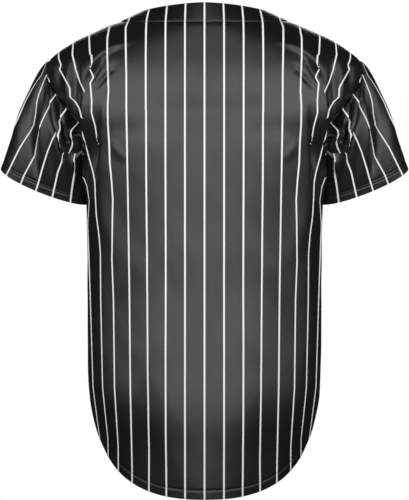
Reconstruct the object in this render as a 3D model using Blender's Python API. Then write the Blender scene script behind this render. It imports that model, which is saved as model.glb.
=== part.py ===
"""A pinstriped baseball jersey with a full button front and a rounded hem, filled out as if worn.

Metres, +Z up. The back faces -Y, the buttons face +Y, and the wearer's right is +X. The origin lies
midway between the two points where the shoulder seams meet the neck band.
"""

import functools
import math
from collections import namedtuple

import bmesh
import bpy
from mathutils import Matrix, Vector

Ring = namedtuple("Ring", "height half_width back_depth front_depth forward squareness")
Fold = namedtuple("Fold", "start_x start_z end_x end_z bow half_width lift")

# Cloth and seams
WALL = 0.0014
SEAM_GAP = 0.0006
ARMHOLE_GAP = 0.0014

# Neck seam, shoulder seam and armhole
NECK_SEAM_BACK = -0.0180
NECK_SEAM_SIDE = -0.0145
NECK_SEAM_FRONT = -0.1180
NECK_HALF_WIDTH = 0.1300
SHOULDER_TIP = -0.0770
ARMPIT = -0.2080
ARMHOLE_BACK_SHARE = 0.24
ARMHOLE_FRONT_SHARE = 0.26
ARMHOLE_FULLNESS = 0.78
ARMHOLE_SLANT = 0.75

# Hem: its height at the side seams and at the middle of the back and front
SIDE_HEM = -0.6460
BACK_TAIL = -0.7515
FRONT_TAIL = -0.7150
TAIL_CURVE = 2.3

# Neck band
BAND_WIDTH = 0.034
BAND_LIFT = 0.0006
BAND_EASE = 0.040

# Sleeves: the oval of the cuff, and how the sleeve leaves the armhole and reaches the cuff
CUFF_CENTRE = Vector((0.2465, 0.0340, -0.2692))
CUFF_HALF_WIDTH = 0.0730
CUFF_HALF_DEPTH = 0.0400
CUFF_SLOPE = math.radians(21.5)
CUFF_FORWARD_TILT = math.radians(18.5)
SLEEVE_TOP_DROP = math.radians(31.0)
SLEEVE_UNDER_DROP = math.radians(76.0)
SLEEVE_START_PULL = 0.55
SLEEVE_END_PULL = 0.60
SLEEVE_UNDER_TURN = 0.50
SLEEVE_TOP_FORWARD = 0.08
SLEEVE_UNDER_FORWARD = 0.20

# Placket and buttons
PLACKET_WIDTH = 0.030
PLACKET_WALL = 0.0016
PLACKET_CLEARANCE = 0.0006
FRONT_MEETING_X = -0.0120
BUTTON_COUNT = 7
BUTTON_RADIUS = 0.0090
BUTTON_THICKNESS = 0.0030
BUTTON_BEVEL = 0.0008
BUTTON_CLEARANCE = 0.0005
BUTTON_SEGMENTS = 24
FIRST_BUTTON = -0.1060
LAST_BUTTON = -0.6450

# How finely each piece is divided
BACK_COLUMNS = 36
FRONT_COLUMNS = 15
BODY_ROWS = 19
ARMHOLE_ROWS = 15
SHOULDER_ROWS = 6
SLEEVE_COLUMNS = 30
SLEEVE_ROWS = 11
BAND_COLUMNS = 44
BAND_ROWS = 3
PLACKET_ROWS = 30
PLACKET_COLUMNS = 4
RING_STEPS = 48
ROW_CROWDING = 1.15
COLUMN_CROWDING = 1.15
SHARE_STEP = 0.004
HEIGHT_STEP = 0.002
SLEEVE_STEP = 0.01

# Folds fade towards their ends, and where the cloth is seen nearly edge-on
END_FADE = 1.5
EDGE_ON = 0.5

BODY_RINGS = (
    Ring(-0.790, 0.1460, 0.144, 0.076, 0.044, 1.95),
    Ring(-0.740, 0.1510, 0.148, 0.082, 0.038, 1.95),
    Ring(-0.677, 0.1590, 0.149, 0.091, 0.030, 1.92),
    Ring(-0.631, 0.1715, 0.146, 0.101, 0.021, 1.92),
    Ring(-0.597, 0.1778, 0.139, 0.107, 0.014, 1.92),
    Ring(-0.540, 0.1805, 0.127, 0.113, 0.006, 1.90),
    Ring(-0.445, 0.1812, 0.118, 0.116, 0.001, 1.90),
    Ring(-0.370, 0.1816, 0.118, 0.117, 0.000, 1.95),
    Ring(-0.330, 0.1820, 0.118, 0.117, 0.000, 2.05),
    Ring(-0.290, 0.1834, 0.119, 0.117, 0.000, 2.18),
    Ring(-0.250, 0.1860, 0.120, 0.117, 0.000, 2.34),
    Ring(-0.208, 0.1875, 0.121, 0.117, 0.000, 2.52),
    Ring(-0.185, 0.2040, 0.121, 0.116, 0.000, 2.34),
    Ring(-0.160, 0.2230, 0.121, 0.112, 0.000, 2.25),
    Ring(-0.130, 0.2390, 0.118, 0.106, 0.000, 2.20),
    Ring(-0.100, 0.2450, 0.116, 0.098, 0.000, 2.15),
    Ring(-0.077, 0.2405, 0.113, 0.090, 0.000, 2.10),
    Ring(-0.059, 0.2200, 0.109, 0.084, 0.000, 2.00),
    Ring(-0.043, 0.1940, 0.104, 0.077, 0.000, 1.90),
    Ring(-0.028, 0.1610, 0.098, 0.071, 0.000, 1.82),
    Ring(-0.0145, 0.1300, 0.091, 0.066, 0.000, 1.75),
    Ring(0.000, 0.0960, 0.083, 0.061, 0.000, 1.75),
)

# Folds of both halves of the back, as seen from behind
BACK_FOLDS = (
    Fold(0.098, -0.056, 0.186, -0.146, -0.024, 0.013, 0.0050),
    Fold(0.174, -0.082, 0.180, -0.196, 0.003, 0.014, 0.0055),
    Fold(0.204, -0.098, 0.199, -0.196, -0.002, 0.013, -0.0080),
    Fold(0.164, -0.150, 0.164, -0.300, 0.002, 0.013, -0.0050),
    Fold(0.156, -0.235, 0.124, -0.400, 0.004, 0.020, 0.0035),
    Fold(0.112, -0.390, 0.140, -0.600, 0.006, 0.028, -0.0045),
    Fold(0.062, -0.420, 0.054, -0.750, 0.004, 0.026, 0.0035),
)

# Folds of both halves of the front, as seen from the front
FRONT_FOLDS = (
    Fold(0.120, -0.090, 0.176, -0.170, -0.012, 0.015, 0.0040),
    Fold(0.196, -0.090, 0.192, -0.190, -0.003, 0.013, -0.0055),
    Fold(0.158, -0.150, 0.160, -0.320, 0.003, 0.014, -0.0045),
    Fold(0.148, -0.250, 0.112, -0.440, 0.004, 0.022, 0.0035),
    Fold(0.100, -0.400, 0.126, -0.590, 0.006, 0.028, -0.0040),
    Fold(0.060, -0.430, 0.066, -0.700, 0.004, 0.024, 0.0030),
)

# Folds of both sleeves, as seen from behind and from the front
SLEEVE_BACK_FOLDS = (
    Fold(0.252, -0.092, 0.258, -0.262, 0.005, 0.012, -0.0060),
    Fold(0.272, -0.110, 0.286, -0.262, 0.003, 0.012, 0.0035),
    Fold(0.236, -0.110, 0.234, -0.270, 0.004, 0.011, 0.0050),
    Fold(0.214, -0.140, 0.214, -0.280, 0.003, 0.010, -0.0050),
)
SLEEVE_FRONT_FOLDS = (
    Fold(0.250, -0.100, 0.256, -0.255, 0.005, 0.012, -0.0055),
    Fold(0.230, -0.115, 0.228, -0.262, 0.004, 0.012, 0.0045),
    Fold(0.212, -0.150, 0.208, -0.272, 0.003, 0.010, -0.0040),
)

CLOTH_BLACK = (0.017, 0.017, 0.018, 1.0)
BUTTON_BLACK = (0.022, 0.022, 0.023, 1.0)


@functools.lru_cache(maxsize=None)
def ring_at(height):
    """The ring of the body at one height, on a smooth curve through the table."""
    height = min(max(height, BODY_RINGS[0].height), BODY_RINGS[-1].height)
    low = max(i for i in range(len(BODY_RINGS) - 1) if BODY_RINGS[i].height <= height)
    start, end = BODY_RINGS[low], BODY_RINGS[low + 1]
    before = BODY_RINGS[max(low - 1, 0)]
    after = BODY_RINGS[min(low + 2, len(BODY_RINGS) - 1)]
    span = end.height - start.height
    share = (height - start.height) / span
    values = [height]
    for column in range(1, len(start)):
        start_slope = (end[column] - before[column]) / (end.height - before.height)
        end_slope = (after[column] - start[column]) / (after.height - start.height)
        values.append(
            start[column] * (1 - 3 * share**2 + 2 * share**3)
            + end[column] * (3 * share**2 - 2 * share**3)
            + start_slope * span * (share - 2 * share**2 + share**3)
            + end_slope * span * (share**3 - share**2)
        )
    return Ring(*values)


def ring_point(turn, height, front):
    """A point of a ring: turn goes from 0 at its middle to a quarter turn at the right side."""
    ring = ring_at(height)
    power = 2 / ring.squareness
    x = ring.half_width * math.sin(turn) ** power
    depth = ring.front_depth - ring.forward if front else ring.back_depth
    y = depth * math.cos(turn) ** power
    return Vector((x, ring.forward + (y if front else -y), height))


@functools.lru_cache(maxsize=None)
def quarter(height, front):
    """Turns round a quarter of a ring, with the length of cloth up to each."""
    turns = [math.pi / 2 * i / RING_STEPS for i in range(RING_STEPS)] + [math.pi / 2 - 1e-9]
    lengths = [0.0]
    for i in range(1, len(turns)):
        step = ring_point(turns[i], height, front) - ring_point(turns[i - 1], height, front)
        lengths.append(lengths[-1] + step.length)
    return turns, lengths


def between(value, keys, results):
    """The result at a value, on straight lines through rising keys."""
    value = min(max(value, keys[0]), keys[-1])
    low = max(i for i in range(len(keys) - 1) if keys[i] <= value)
    share = (value - keys[low]) / (keys[low + 1] - keys[low])
    return results[low] + (results[low + 1] - results[low]) * share


def smooth_point(share, height, front):
    """A point of the body without folds. Share goes from 0 at its middle to 1 or -1 at a side seam."""
    turns, lengths = quarter(round(height, 7), front)
    turn = between(abs(share) * lengths[-1], lengths, turns)
    point = ring_point(turn, height, front)
    point.x = math.copysign(point.x, share)
    return point


def cloth_length(height, front):
    """The length of cloth from the body's middle to its side seam at one height."""
    return quarter(round(height, 7), front)[1][-1]


def share_at(x, height, front):
    """The share at which the body has this distance from its middle."""
    turns, lengths = quarter(round(height, 7), front)
    ring = ring_at(height)
    turn = math.asin(min(abs(x) / ring.half_width, 1.0) ** (ring.squareness / 2))
    return math.copysign(between(turn, turns, lengths) / lengths[-1], x)


def smooth_normal(share, height, front):
    """The outward normal of the body without folds."""
    low, high = max(share - SHARE_STEP, -1.0), min(share + SHARE_STEP, 1.0)
    across = smooth_point(high, height, front) - smooth_point(low, height, front)
    up = smooth_point(share, height + HEIGHT_STEP, front) - smooth_point(share, height - HEIGHT_STEP, front)
    normal = up.cross(across) if front else across.cross(up)
    return normal.normalized()


def fold_lift(folds, x, z):
    """How far a table of folds lifts the cloth at a place seen square on, the same on both halves."""
    lift = 0.0
    for fold in folds:
        along = Vector((fold.end_x - fold.start_x, fold.end_z - fold.start_z))
        place = Vector((abs(x) - fold.start_x, z - fold.start_z))
        share = place.dot(along) / along.length_squared
        if not 0 < share < 1:
            continue
        aside = (place.x * along.y - place.y * along.x) / along.length
        aside -= fold.bow * 4 * share * (1 - share)
        fade = math.sin(math.pi * share) ** END_FADE
        lift += fold.lift * fade * math.exp(-((aside / fold.half_width) ** 2))
    return lift


def seen(slope):
    """0 to 1 as a surface turns from edge-on to square on, where slope is its normal's share along Y."""
    share = min(abs(slope) / EDGE_ON, 1.0)
    return share * share * (3 - 2 * share)


def body_point(share, height, front, lift=0.0):
    """A point of the body's cloth with its folds, moved outward by lift."""
    normal = smooth_normal(share, height, front)
    point = smooth_point(share, height, front)
    folds = FRONT_FOLDS if front else BACK_FOLDS
    return point + normal * (fold_lift(folds, point.x, point.z) * seen(normal.y) + lift)


def armhole_share(height, front):
    """How far round the body reaches at this height: to the side seam, the armhole or the shoulder seam."""
    if not ARMPIT < height < SHOULDER_TIP:
        return 1.0
    middle, half = (SHOULDER_TIP + ARMPIT) / 2, (SHOULDER_TIP - ARMPIT) / 2
    rise = (height - middle) / half
    reach = ARMHOLE_FRONT_SHARE
    if not front:
        reach = ARMHOLE_BACK_SHARE * (ARMHOLE_FULLNESS - ARMHOLE_SLANT * rise)
    return 1.0 - reach * math.sqrt(max(1 - rise**2, 0.0))


def hem_height(share, front):
    tail = FRONT_TAIL if front else BACK_TAIL
    return tail + (SIDE_HEM - tail) * abs(share) ** TAIL_CURVE


def neck_seam(turn):
    """(x, height, front) on the neck seam: turn goes from 0 at the middle of the back to 1 at the front."""
    if turn <= 0.5:
        angle = turn * math.pi
        height = NECK_SEAM_BACK + (NECK_SEAM_SIDE - NECK_SEAM_BACK) * math.sin(angle) ** 2
        return NECK_HALF_WIDTH * math.sin(angle), height, False
    share = turn * 2 - 1
    drop = (NECK_SEAM_SIDE - NECK_SEAM_FRONT) * (1 - (1 - share) ** 2)
    return NECK_HALF_WIDTH * (1 - share), NECK_SEAM_SIDE - drop, True


def blended(start, end, share):
    return start + (end - start) * share


def armhole_heights():
    """Heights up one side of an armhole, close together at its ends, where its curve is tightest."""
    middle, half = (SHOULDER_TIP + ARMPIT) / 2, (SHOULDER_TIP - ARMPIT) / 2
    return [middle - half * math.cos(math.pi * i / ARMHOLE_ROWS) for i in range(ARMHOLE_ROWS + 1)]


def side_heights(neck_height):
    """Heights up the outer edge of the back: its side seam, its armhole and its shoulder seam."""
    heights = [blended(SIDE_HEM, ARMPIT, i / BODY_ROWS) for i in range(BODY_ROWS)]
    heights += armhole_heights()
    heights += [blended(SHOULDER_TIP, neck_height, (i + 1) / SHOULDER_ROWS) for i in range(SHOULDER_ROWS)]
    return heights


def closed_sheet(name, material, outer, inner, around=False):
    """A thin solid between two grids of points, joined at its rims. Around closes each row into a ring."""
    mesh = bmesh.new()
    outside = [[mesh.verts.new(point) for point in row] for row in outer]
    inside = [[mesh.verts.new(point) for point in row] for row in inner]
    last = len(outer[0]) if around else len(outer[0]) - 1
    for row in range(len(outer) - 1):
        for i in range(last):
            following = (i + 1) % len(outer[0])
            corners = ((row, i), (row, following), (row + 1, following), (row + 1, i))
            mesh.faces.new([outside[r][c] for r, c in corners])
            mesh.faces.new([inside[r][c] for r, c in reversed(corners)])
    rims = [[(0, i), (0, (i + 1) % len(outer[0]))] for i in range(last)]
    rims += [[(len(outer) - 1, (i + 1) % len(outer[0])), (len(outer) - 1, i)] for i in range(last)]
    if not around:
        rims += [[(row + 1, 0), (row, 0)] for row in range(len(outer) - 1)]
        rims += [[(row, last), (row + 1, last)] for row in range(len(outer) - 1)]
    for (r1, c1), (r2, c2) in rims:
        mesh.faces.new((inside[r1][c1], inside[r2][c2], outside[r2][c2], outside[r1][c1]))
    if mesh.calc_volume(signed=True) < 0:
        bmesh.ops.reverse_faces(mesh, faces=mesh.faces)
    return finished(name, material, mesh)


def finished(name, material, mesh):
    """Put a mesh into an object of the jersey's collection."""
    data = bpy.data.meshes.new(name)
    mesh.to_mesh(data)
    mesh.free()
    data.materials.append(material)
    piece = bpy.data.objects.new(name, data)
    bpy.data.collections["baseball_jersey"].objects.link(piece)
    return piece


def back_place(column, row):
    """(share, height) of one corner of the back's grid."""
    share = blended(-1.0, 1.0, column / BACK_COLUMNS)
    heights = side_heights(NECK_SEAM_SIDE - SEAM_GAP / 2)
    bottom, top = hem_height(share, False), heights[-1]
    top += (NECK_SEAM_BACK - NECK_SEAM_SIDE) * math.cos(share * math.pi / 2) ** 2
    part = (heights[row] - heights[0]) / (heights[-1] - heights[0])
    height = blended(bottom, top, part) if abs(share) < 1 else heights[row]
    edge = armhole_share(height, False) - SEAM_GAP / 2 / cloth_length(height, False)
    return share * edge, height


def back_panel(material):
    rows = len(side_heights(0.0)) - 1
    places = [[back_place(column, row) for column in range(BACK_COLUMNS + 1)] for row in range(rows + 1)]
    outer = [[body_point(share, height, False) for share, height in row] for row in places]
    inner = [[body_point(share, height, False, -WALL) for share, height in row] for row in places]
    return closed_sheet("back_panel", material, outer, inner)


def front_inner_edge(side, meeting_x):
    """(share, height) up the inner edge of a front: its meeting line, then its neck seam."""
    edge = []
    for i in range(BODY_ROWS):
        height = blended(hem_height(0.0, True), NECK_SEAM_FRONT, i / BODY_ROWS)
        edge.append((share_at(meeting_x, height, True) * side, height))
    meeting = 1 - meeting_x * side / NECK_HALF_WIDTH
    for i in range(ARMHOLE_ROWS):
        fall = meeting * (1 - i / ARMHOLE_ROWS) ** ROW_CROWDING
        height = neck_seam(0.5 + min(fall, 1.0) / 2)[1] - SEAM_GAP / 2
        edge.append((share_at(NECK_HALF_WIDTH * (1 - fall), height, True), height))
    edge.append((1.0, NECK_SEAM_SIDE - SEAM_GAP / 2))
    return edge


def front_outer_edge():
    """(share, height) up the outer edge of a front: its side seam, then its armhole."""
    heights = [blended(SIDE_HEM, ARMPIT, i / BODY_ROWS) for i in range(BODY_ROWS)] + armhole_heights()
    return [(armhole_share(height, True), height) for height in heights]


def front_places(side, meeting_x):
    """(share, height) rows of one front, level at the hem and turned to the shoulder seam's line at the top."""
    inner, outer = front_inner_edge(side, meeting_x), front_outer_edge()
    places = []
    for row, ((inner_share, inner_z), (outer_share, outer_z)) in enumerate(zip(inner, outer)):
        corners = []
        settle = max(1 - row / BODY_ROWS, 0.0) ** 2
        for i in range(FRONT_COLUMNS + 1):
            part = (i / FRONT_COLUMNS) ** COLUMN_CROWDING
            share, height = blended(inner_share, outer_share, part), blended(inner_z, outer_z, part)
            level = blended(inner[0][1], outer[0][1], part)
            height += (hem_height(share, True) - level) * settle
            share += SEAM_GAP * (0.5 - part) / cloth_length(height, True)
            corners.append((share * side, height))
        places.append(corners)
    return places


def front_panel(name, side, meeting_x, material):
    places = front_places(side, meeting_x)
    outer = [[body_point(share, height, True) for share, height in row] for row in places]
    inner = [[body_point(share, height, True, -WALL) for share, height in row] for row in places]
    return closed_sheet(name, material, outer, inner)


def sleeve_start(clock):
    """(point, normal) on the right armhole: clock is 0 at the shoulder tip and a quarter turn at the back."""
    middle, half = (SHOULDER_TIP + ARMPIT) / 2, (SHOULDER_TIP - ARMPIT) / 2
    height = middle + half * math.cos(clock)
    front = math.sin(clock) < 0
    share = armhole_share(height, front)
    return body_point(share, height, front), smooth_normal(share, height, front)


def sleeve_direction(clock):
    """The way in which the cloth leaves the armhole, flatter over the shoulder than under the arm."""
    under = (1 - math.cos(clock)) / 2
    drop = blended(SLEEVE_TOP_DROP, SLEEVE_UNDER_DROP, under)
    forward = blended(SLEEVE_TOP_FORWARD, SLEEVE_UNDER_FORWARD, under**4)
    return Vector((math.cos(drop), forward, -math.sin(drop))).normalized()


def cuff_axes():
    """The two axes of the cuff's oval, outward and backward, and the way out of the sleeve."""
    outward = Vector((math.cos(CUFF_SLOPE), 0.0, math.sin(CUFF_SLOPE)))
    down = Vector((math.sin(CUFF_SLOPE), 0.0, -math.cos(CUFF_SLOPE)))
    backward = Vector((0.0, -1.0, 0.0)) * math.cos(CUFF_FORWARD_TILT) + down * math.sin(CUFF_FORWARD_TILT)
    return outward, backward, outward.cross(backward)


def smooth_sleeve_point(clock, share):
    """A point of the right sleeve without folds: share goes from 0 at the armhole to 1 at the cuff."""
    armhole_point, normal = sleeve_start(clock)
    away = sleeve_direction(clock)
    start = armhole_point + normal * ARMHOLE_GAP / 2 + away * ARMHOLE_GAP
    outward, backward, out = cuff_axes()
    end = CUFF_CENTRE + outward * CUFF_HALF_WIDTH * math.cos(clock)
    end += backward * CUFF_HALF_DEPTH * math.sin(clock)
    length = (end - start).length
    under = (1 - math.cos(clock)) / 2
    out = (out - outward * SLEEVE_UNDER_TURN * under).normalized()
    start_pull, end_pull = away * length * SLEEVE_START_PULL, out * length * SLEEVE_END_PULL
    return (
        start * (1 - 3 * share**2 + 2 * share**3)
        + end * (3 * share**2 - 2 * share**3)
        + start_pull * (share - 2 * share**2 + share**3)
        + end_pull * (share**3 - share**2)
    )


def sleeve_point(clock, share, lift=0.0):
    """A point of the right sleeve with its folds, moved outward by lift."""
    low, high = max(share - SLEEVE_STEP, 0.0), min(share + SLEEVE_STEP, 1.0)
    along = smooth_sleeve_point(clock, high) - smooth_sleeve_point(clock, low)
    around = smooth_sleeve_point(clock + SLEEVE_STEP, share)
    around -= smooth_sleeve_point(clock - SLEEVE_STEP, share)
    normal = around.cross(along).normalized()
    point = smooth_sleeve_point(clock, share)
    folds = SLEEVE_BACK_FOLDS if normal.y < 0 else SLEEVE_FRONT_FOLDS
    return point + normal * (fold_lift(folds, point.x, point.z) * seen(normal.y) + lift)


def sleeve(name, side, material):
    grids = []
    for lift in (0.0, -WALL):
        grid = []
        for row in range(SLEEVE_ROWS + 1):
            clocks = [2 * math.pi * i / SLEEVE_COLUMNS for i in range(SLEEVE_COLUMNS)]
            points = [sleeve_point(clock, row / SLEEVE_ROWS, lift) for clock in clocks]
            grid.append([Vector((point.x * side, point.y, point.z)) for point in points])
        grids.append(grid)
    return closed_sheet(name, material, *grids, around=True)


def seam_point(turn):
    x, height, front = neck_seam(min(max(turn, 0.0), 1.0))
    return smooth_point(share_at(x, height, front), height, front)


def band_point(turn, share, side, lift=0.0):
    """A point of the neck band: share goes from 0 at the neck seam to 1 at its upper edge."""
    x, height, front = neck_seam(turn)
    along = (seam_point(turn + SHARE_STEP) - seam_point(turn - SHARE_STEP)).normalized()
    if turn in (0.0, 1.0):
        along = Vector((1.0, 0.0, 0.0))
    normal = smooth_normal(share_at(x, height, front), height, front)
    inward = normal.cross(along)
    if inward.z < 0:
        inward.negate()
    if front:
        inward.x *= min(max((x - abs(FRONT_MEETING_X)) / BAND_EASE, 0.0), 1.0)
    reach = SEAM_GAP / 2 + (BAND_WIDTH - SEAM_GAP / 2) * share
    point = seam_point(turn) + inward.normalized() * reach + normal * (BAND_LIFT * share + lift)
    return Vector((point.x * side, point.y, point.z))


def neck_band(material):
    """The band round the neck, open where the two fronts meet."""
    end = 1 - (abs(FRONT_MEETING_X) + SEAM_GAP) / NECK_HALF_WIDTH / 2
    turns = [(blended(end, 0.0, i / BAND_COLUMNS), -1) for i in range(BAND_COLUMNS)]
    turns += [(blended(0.0, end, i / BAND_COLUMNS), 1) for i in range(BAND_COLUMNS + 1)]
    grids = []
    for lift in (0.0, -WALL):
        shares = [row / BAND_ROWS for row in range(BAND_ROWS + 1)]
        grids.append([[band_point(turn, share, side, lift) for turn, side in turns] for share in shares])
    return closed_sheet("neck_band", material, *grids)


def cut(name, colour, roughness):
    """A material for one piece."""
    material = bpy.data.materials.new(name)
    material.use_nodes = True
    shader = material.node_tree.nodes["Principled BSDF"]
    shader.inputs["Base Color"].default_value = colour
    shader.inputs["Roughness"].default_value = roughness
    shader.inputs["Metallic"].default_value = 0.0
    material.diffuse_color = colour
    return material


def centre_front_point(x, height, lift):
    """A point over the middle of the front: on the body up to the neck seam, then on the neck band's line."""
    if height <= NECK_SEAM_FRONT:
        return body_point(share_at(x, height, True), height, True, lift)
    seam = body_point(share_at(x, NECK_SEAM_FRONT, True), NECK_SEAM_FRONT, True, lift)
    top = band_point(1.0, 1.0, 1)
    bottom = band_point(1.0, 0.0, 1)
    slope = (top.y - bottom.y) / (top.z - bottom.z)
    return seam + Vector((0.0, slope, 1.0)) * (height - NECK_SEAM_FRONT)


def placket(material):
    """The strip down the middle of the front, lying over both fronts and the ends of the neck band."""
    top = band_point(1.0, 1.0, 1).z
    grids = []
    for lift in (PLACKET_CLEARANCE + PLACKET_WALL, PLACKET_CLEARANCE):
        grid = []
        for row in range(PLACKET_ROWS + 1):
            height = blended(hem_height(0.0, True), top, row / PLACKET_ROWS)
            across = [PLACKET_WIDTH * (0.5 - i / PLACKET_COLUMNS) for i in range(PLACKET_COLUMNS + 1)]
            grid.append([centre_front_point(x, height, lift) for x in across])
        grids.append(grid)
    return closed_sheet("placket", material, *grids)


def button(name, height, material):
    """A button that lies flat on the placket."""
    lift = PLACKET_CLEARANCE + PLACKET_WALL + BUTTON_CLEARANCE
    middle = centre_front_point(0.0, height, lift)
    above = centre_front_point(0.0, height + BUTTON_RADIUS, lift)
    below = centre_front_point(0.0, height - BUTTON_RADIUS, lift)
    up = (above - below).normalized()
    out = Vector((-1.0, 0.0, 0.0)).cross(up).normalized()
    if out.y < 0:
        out.negate()
    across = up.cross(out)
    mesh = bmesh.new()
    bmesh.ops.create_cone(
        mesh,
        cap_ends=True,
        segments=BUTTON_SEGMENTS,
        radius1=BUTTON_RADIUS,
        radius2=BUTTON_RADIUS,
        depth=BUTTON_THICKNESS,
    )
    rims = [edge for edge in mesh.edges if abs(edge.verts[0].co.z - edge.verts[1].co.z) < 1e-6]
    bmesh.ops.bevel(
        mesh, geom=rims, offset=BUTTON_BEVEL, affect="EDGES", segments=1, profile=0.5, material=-1
    )
    sag = max((middle - above).dot(out), (middle - below).dot(out), 0.0)
    centre = middle + out * (BUTTON_THICKNESS / 2 + sag)
    turned = Matrix((across, up, out)).transposed().to_4x4()
    mesh.transform(Matrix.Translation(centre) @ turned)
    return finished(name, material, mesh)


def main():
    for thing in list(bpy.data.objects):
        bpy.data.objects.remove(thing, do_unlink=True)
    collection = bpy.data.collections.new("baseball_jersey")
    bpy.context.scene.collection.children.link(collection)
    back_panel(cut("back_panel_cloth", CLOTH_BLACK, 0.55))
    front_panel("front_left", -1, FRONT_MEETING_X, cut("front_left_cloth", CLOTH_BLACK, 0.55))
    front_panel("front_right", 1, FRONT_MEETING_X, cut("front_right_cloth", CLOTH_BLACK, 0.55))
    sleeve("sleeve_left", -1, cut("sleeve_left_cloth", CLOTH_BLACK, 0.55))
    sleeve("sleeve_right", 1, cut("sleeve_right_cloth", CLOTH_BLACK, 0.55))
    neck_band(cut("neck_band_cloth", CLOTH_BLACK, 0.55))
    placket(cut("placket_cloth", CLOTH_BLACK, 0.55))
    for i in range(BUTTON_COUNT):
        height = blended(FIRST_BUTTON, LAST_BUTTON, i / (BUTTON_COUNT - 1))
        name = "button_%d" % (i + 1)
        button(name, height, cut(name + "_plastic", BUTTON_BLACK, 0.35))


main()
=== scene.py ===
"""Looks for a pinstriped baseball jersey, filled out as if worn and seen from behind.

Metres, +Z up. The back faces -Y, the buttons face +Y, and the wearer's right is +X.
"""

import math
from collections import namedtuple

import bmesh
import bpy
import numpy as np
from mathutils import Matrix, Vector


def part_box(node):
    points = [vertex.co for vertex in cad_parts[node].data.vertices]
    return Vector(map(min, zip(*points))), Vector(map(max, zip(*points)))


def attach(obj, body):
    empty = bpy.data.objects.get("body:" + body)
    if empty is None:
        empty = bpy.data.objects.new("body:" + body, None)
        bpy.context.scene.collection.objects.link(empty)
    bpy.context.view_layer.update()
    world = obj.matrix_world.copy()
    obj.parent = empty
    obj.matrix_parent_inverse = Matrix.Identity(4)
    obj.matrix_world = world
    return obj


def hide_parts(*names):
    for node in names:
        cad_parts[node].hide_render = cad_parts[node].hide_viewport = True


bl_info = {
    "name": "Baseball jersey",
    "version": (1, 0, 0),
    "blender": (4, 5, 0),
    "location": "3D View > Sidebar > Jersey",
    "description": "Builds the cloth, sewing and buttons of a pinstriped baseball jersey",
    "category": "Object",
}

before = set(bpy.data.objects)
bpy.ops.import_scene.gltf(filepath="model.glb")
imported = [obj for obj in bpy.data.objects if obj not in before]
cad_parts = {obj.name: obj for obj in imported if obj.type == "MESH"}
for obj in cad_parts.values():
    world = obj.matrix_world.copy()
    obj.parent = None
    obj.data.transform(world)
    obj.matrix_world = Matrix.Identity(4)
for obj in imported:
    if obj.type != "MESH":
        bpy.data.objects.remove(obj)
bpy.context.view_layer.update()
BACK_LOW, BACK_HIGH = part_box("back_panel")
FRONT_LOW, FRONT_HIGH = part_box("front_right")
SLEEVE_LOW, SLEEVE_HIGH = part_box("sleeve_right")

Ring = namedtuple("Ring", "height half_width back_depth front_depth forward squareness")
Fold = namedtuple("Fold", "start_x start_z end_x end_z bow inner_width outer_width lift")
Thread = namedtuple("Thread", "distance path")

# Neck seam, shoulder seam and armhole
NECK_SEAM_BACK = -0.0180
NECK_SEAM_SIDE = -0.0145
NECK_SEAM_FRONT = -0.1180
NECK_HALF_WIDTH = 0.1300
SHOULDER_TIP = -0.0770
ARMPIT = -0.2080
ARMHOLE_MIDDLE = (SHOULDER_TIP + ARMPIT) / 2
ARMHOLE_HALF = (SHOULDER_TIP - ARMPIT) / 2
ARMHOLE_BACK_SHARE = 0.24
ARMHOLE_FRONT_SHARE = 0.26
ARMHOLE_FULLNESS = 0.78
ARMHOLE_SLANT = 0.75

# Hem: its height at the side seams and at the middle of the back and front
SIDE_HEM = -0.6460
BACK_TAIL = -0.7515
FRONT_TAIL = -0.7150
TAIL_CURVE = 2.3

# Neck band and placket
BAND_WIDTH = 0.034
FRONT_MEETING_X = -0.0120
PLACKET_LIFT = 0.0022
PLACKET_HALF_WIDTH = 0.015
HEM_ROW_GAP = 0.0028

# How deep stitching pulls the cloth in, and how wide
HEM_DIP = (0.0010, 0.0014)
SLEEVE_HEM_DIP = (0.0008, 0.0009)
TRIM_DIP = (0.0004, 0.0010)

# Buttons, from the top one to the lowest
BUTTON_COUNT = 7
BUTTON_RADIUS = 0.0090
BUTTON_THICKNESS = 0.0030
BUTTON_RIM = 0.0020
BUTTON_DISH = 0.0007
BUTTON_HOLE = 0.0009
BUTTON_HOLE_SPACING = 0.0030
BUTTONHOLE_LENGTH = 0.021

# Sleeves: the oval of the cuff, and how the sleeve leaves the armhole and reaches the cuff
CUFF_CENTRE = Vector((0.2465, 0.0340, -0.2692))
CUFF_HALF_WIDTH = 0.0730
CUFF_HALF_DEPTH = 0.0400
CUFF_SLOPE = math.radians(21.5)
CUFF_FORWARD_TILT = math.radians(18.5)
SLEEVE_TOP_DROP = math.radians(31.0)
SLEEVE_UNDER_DROP = math.radians(76.0)
SLEEVE_START_PULL = 0.55
SLEEVE_END_PULL = 0.60
SLEEVE_UNDER_TURN = 0.50
SLEEVE_TOP_FORWARD = 0.08
SLEEVE_UNDER_FORWARD = 0.20

SEAM_GAP = 0.0004
RING_STEPS = 72

# Where cloth turns from edge-on to square on, as its normal's share along Y
BACK_EDGE_ON = (0.04, 0.12)
SLEEVE_EDGE_ON = (0.10, 0.22)

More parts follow.
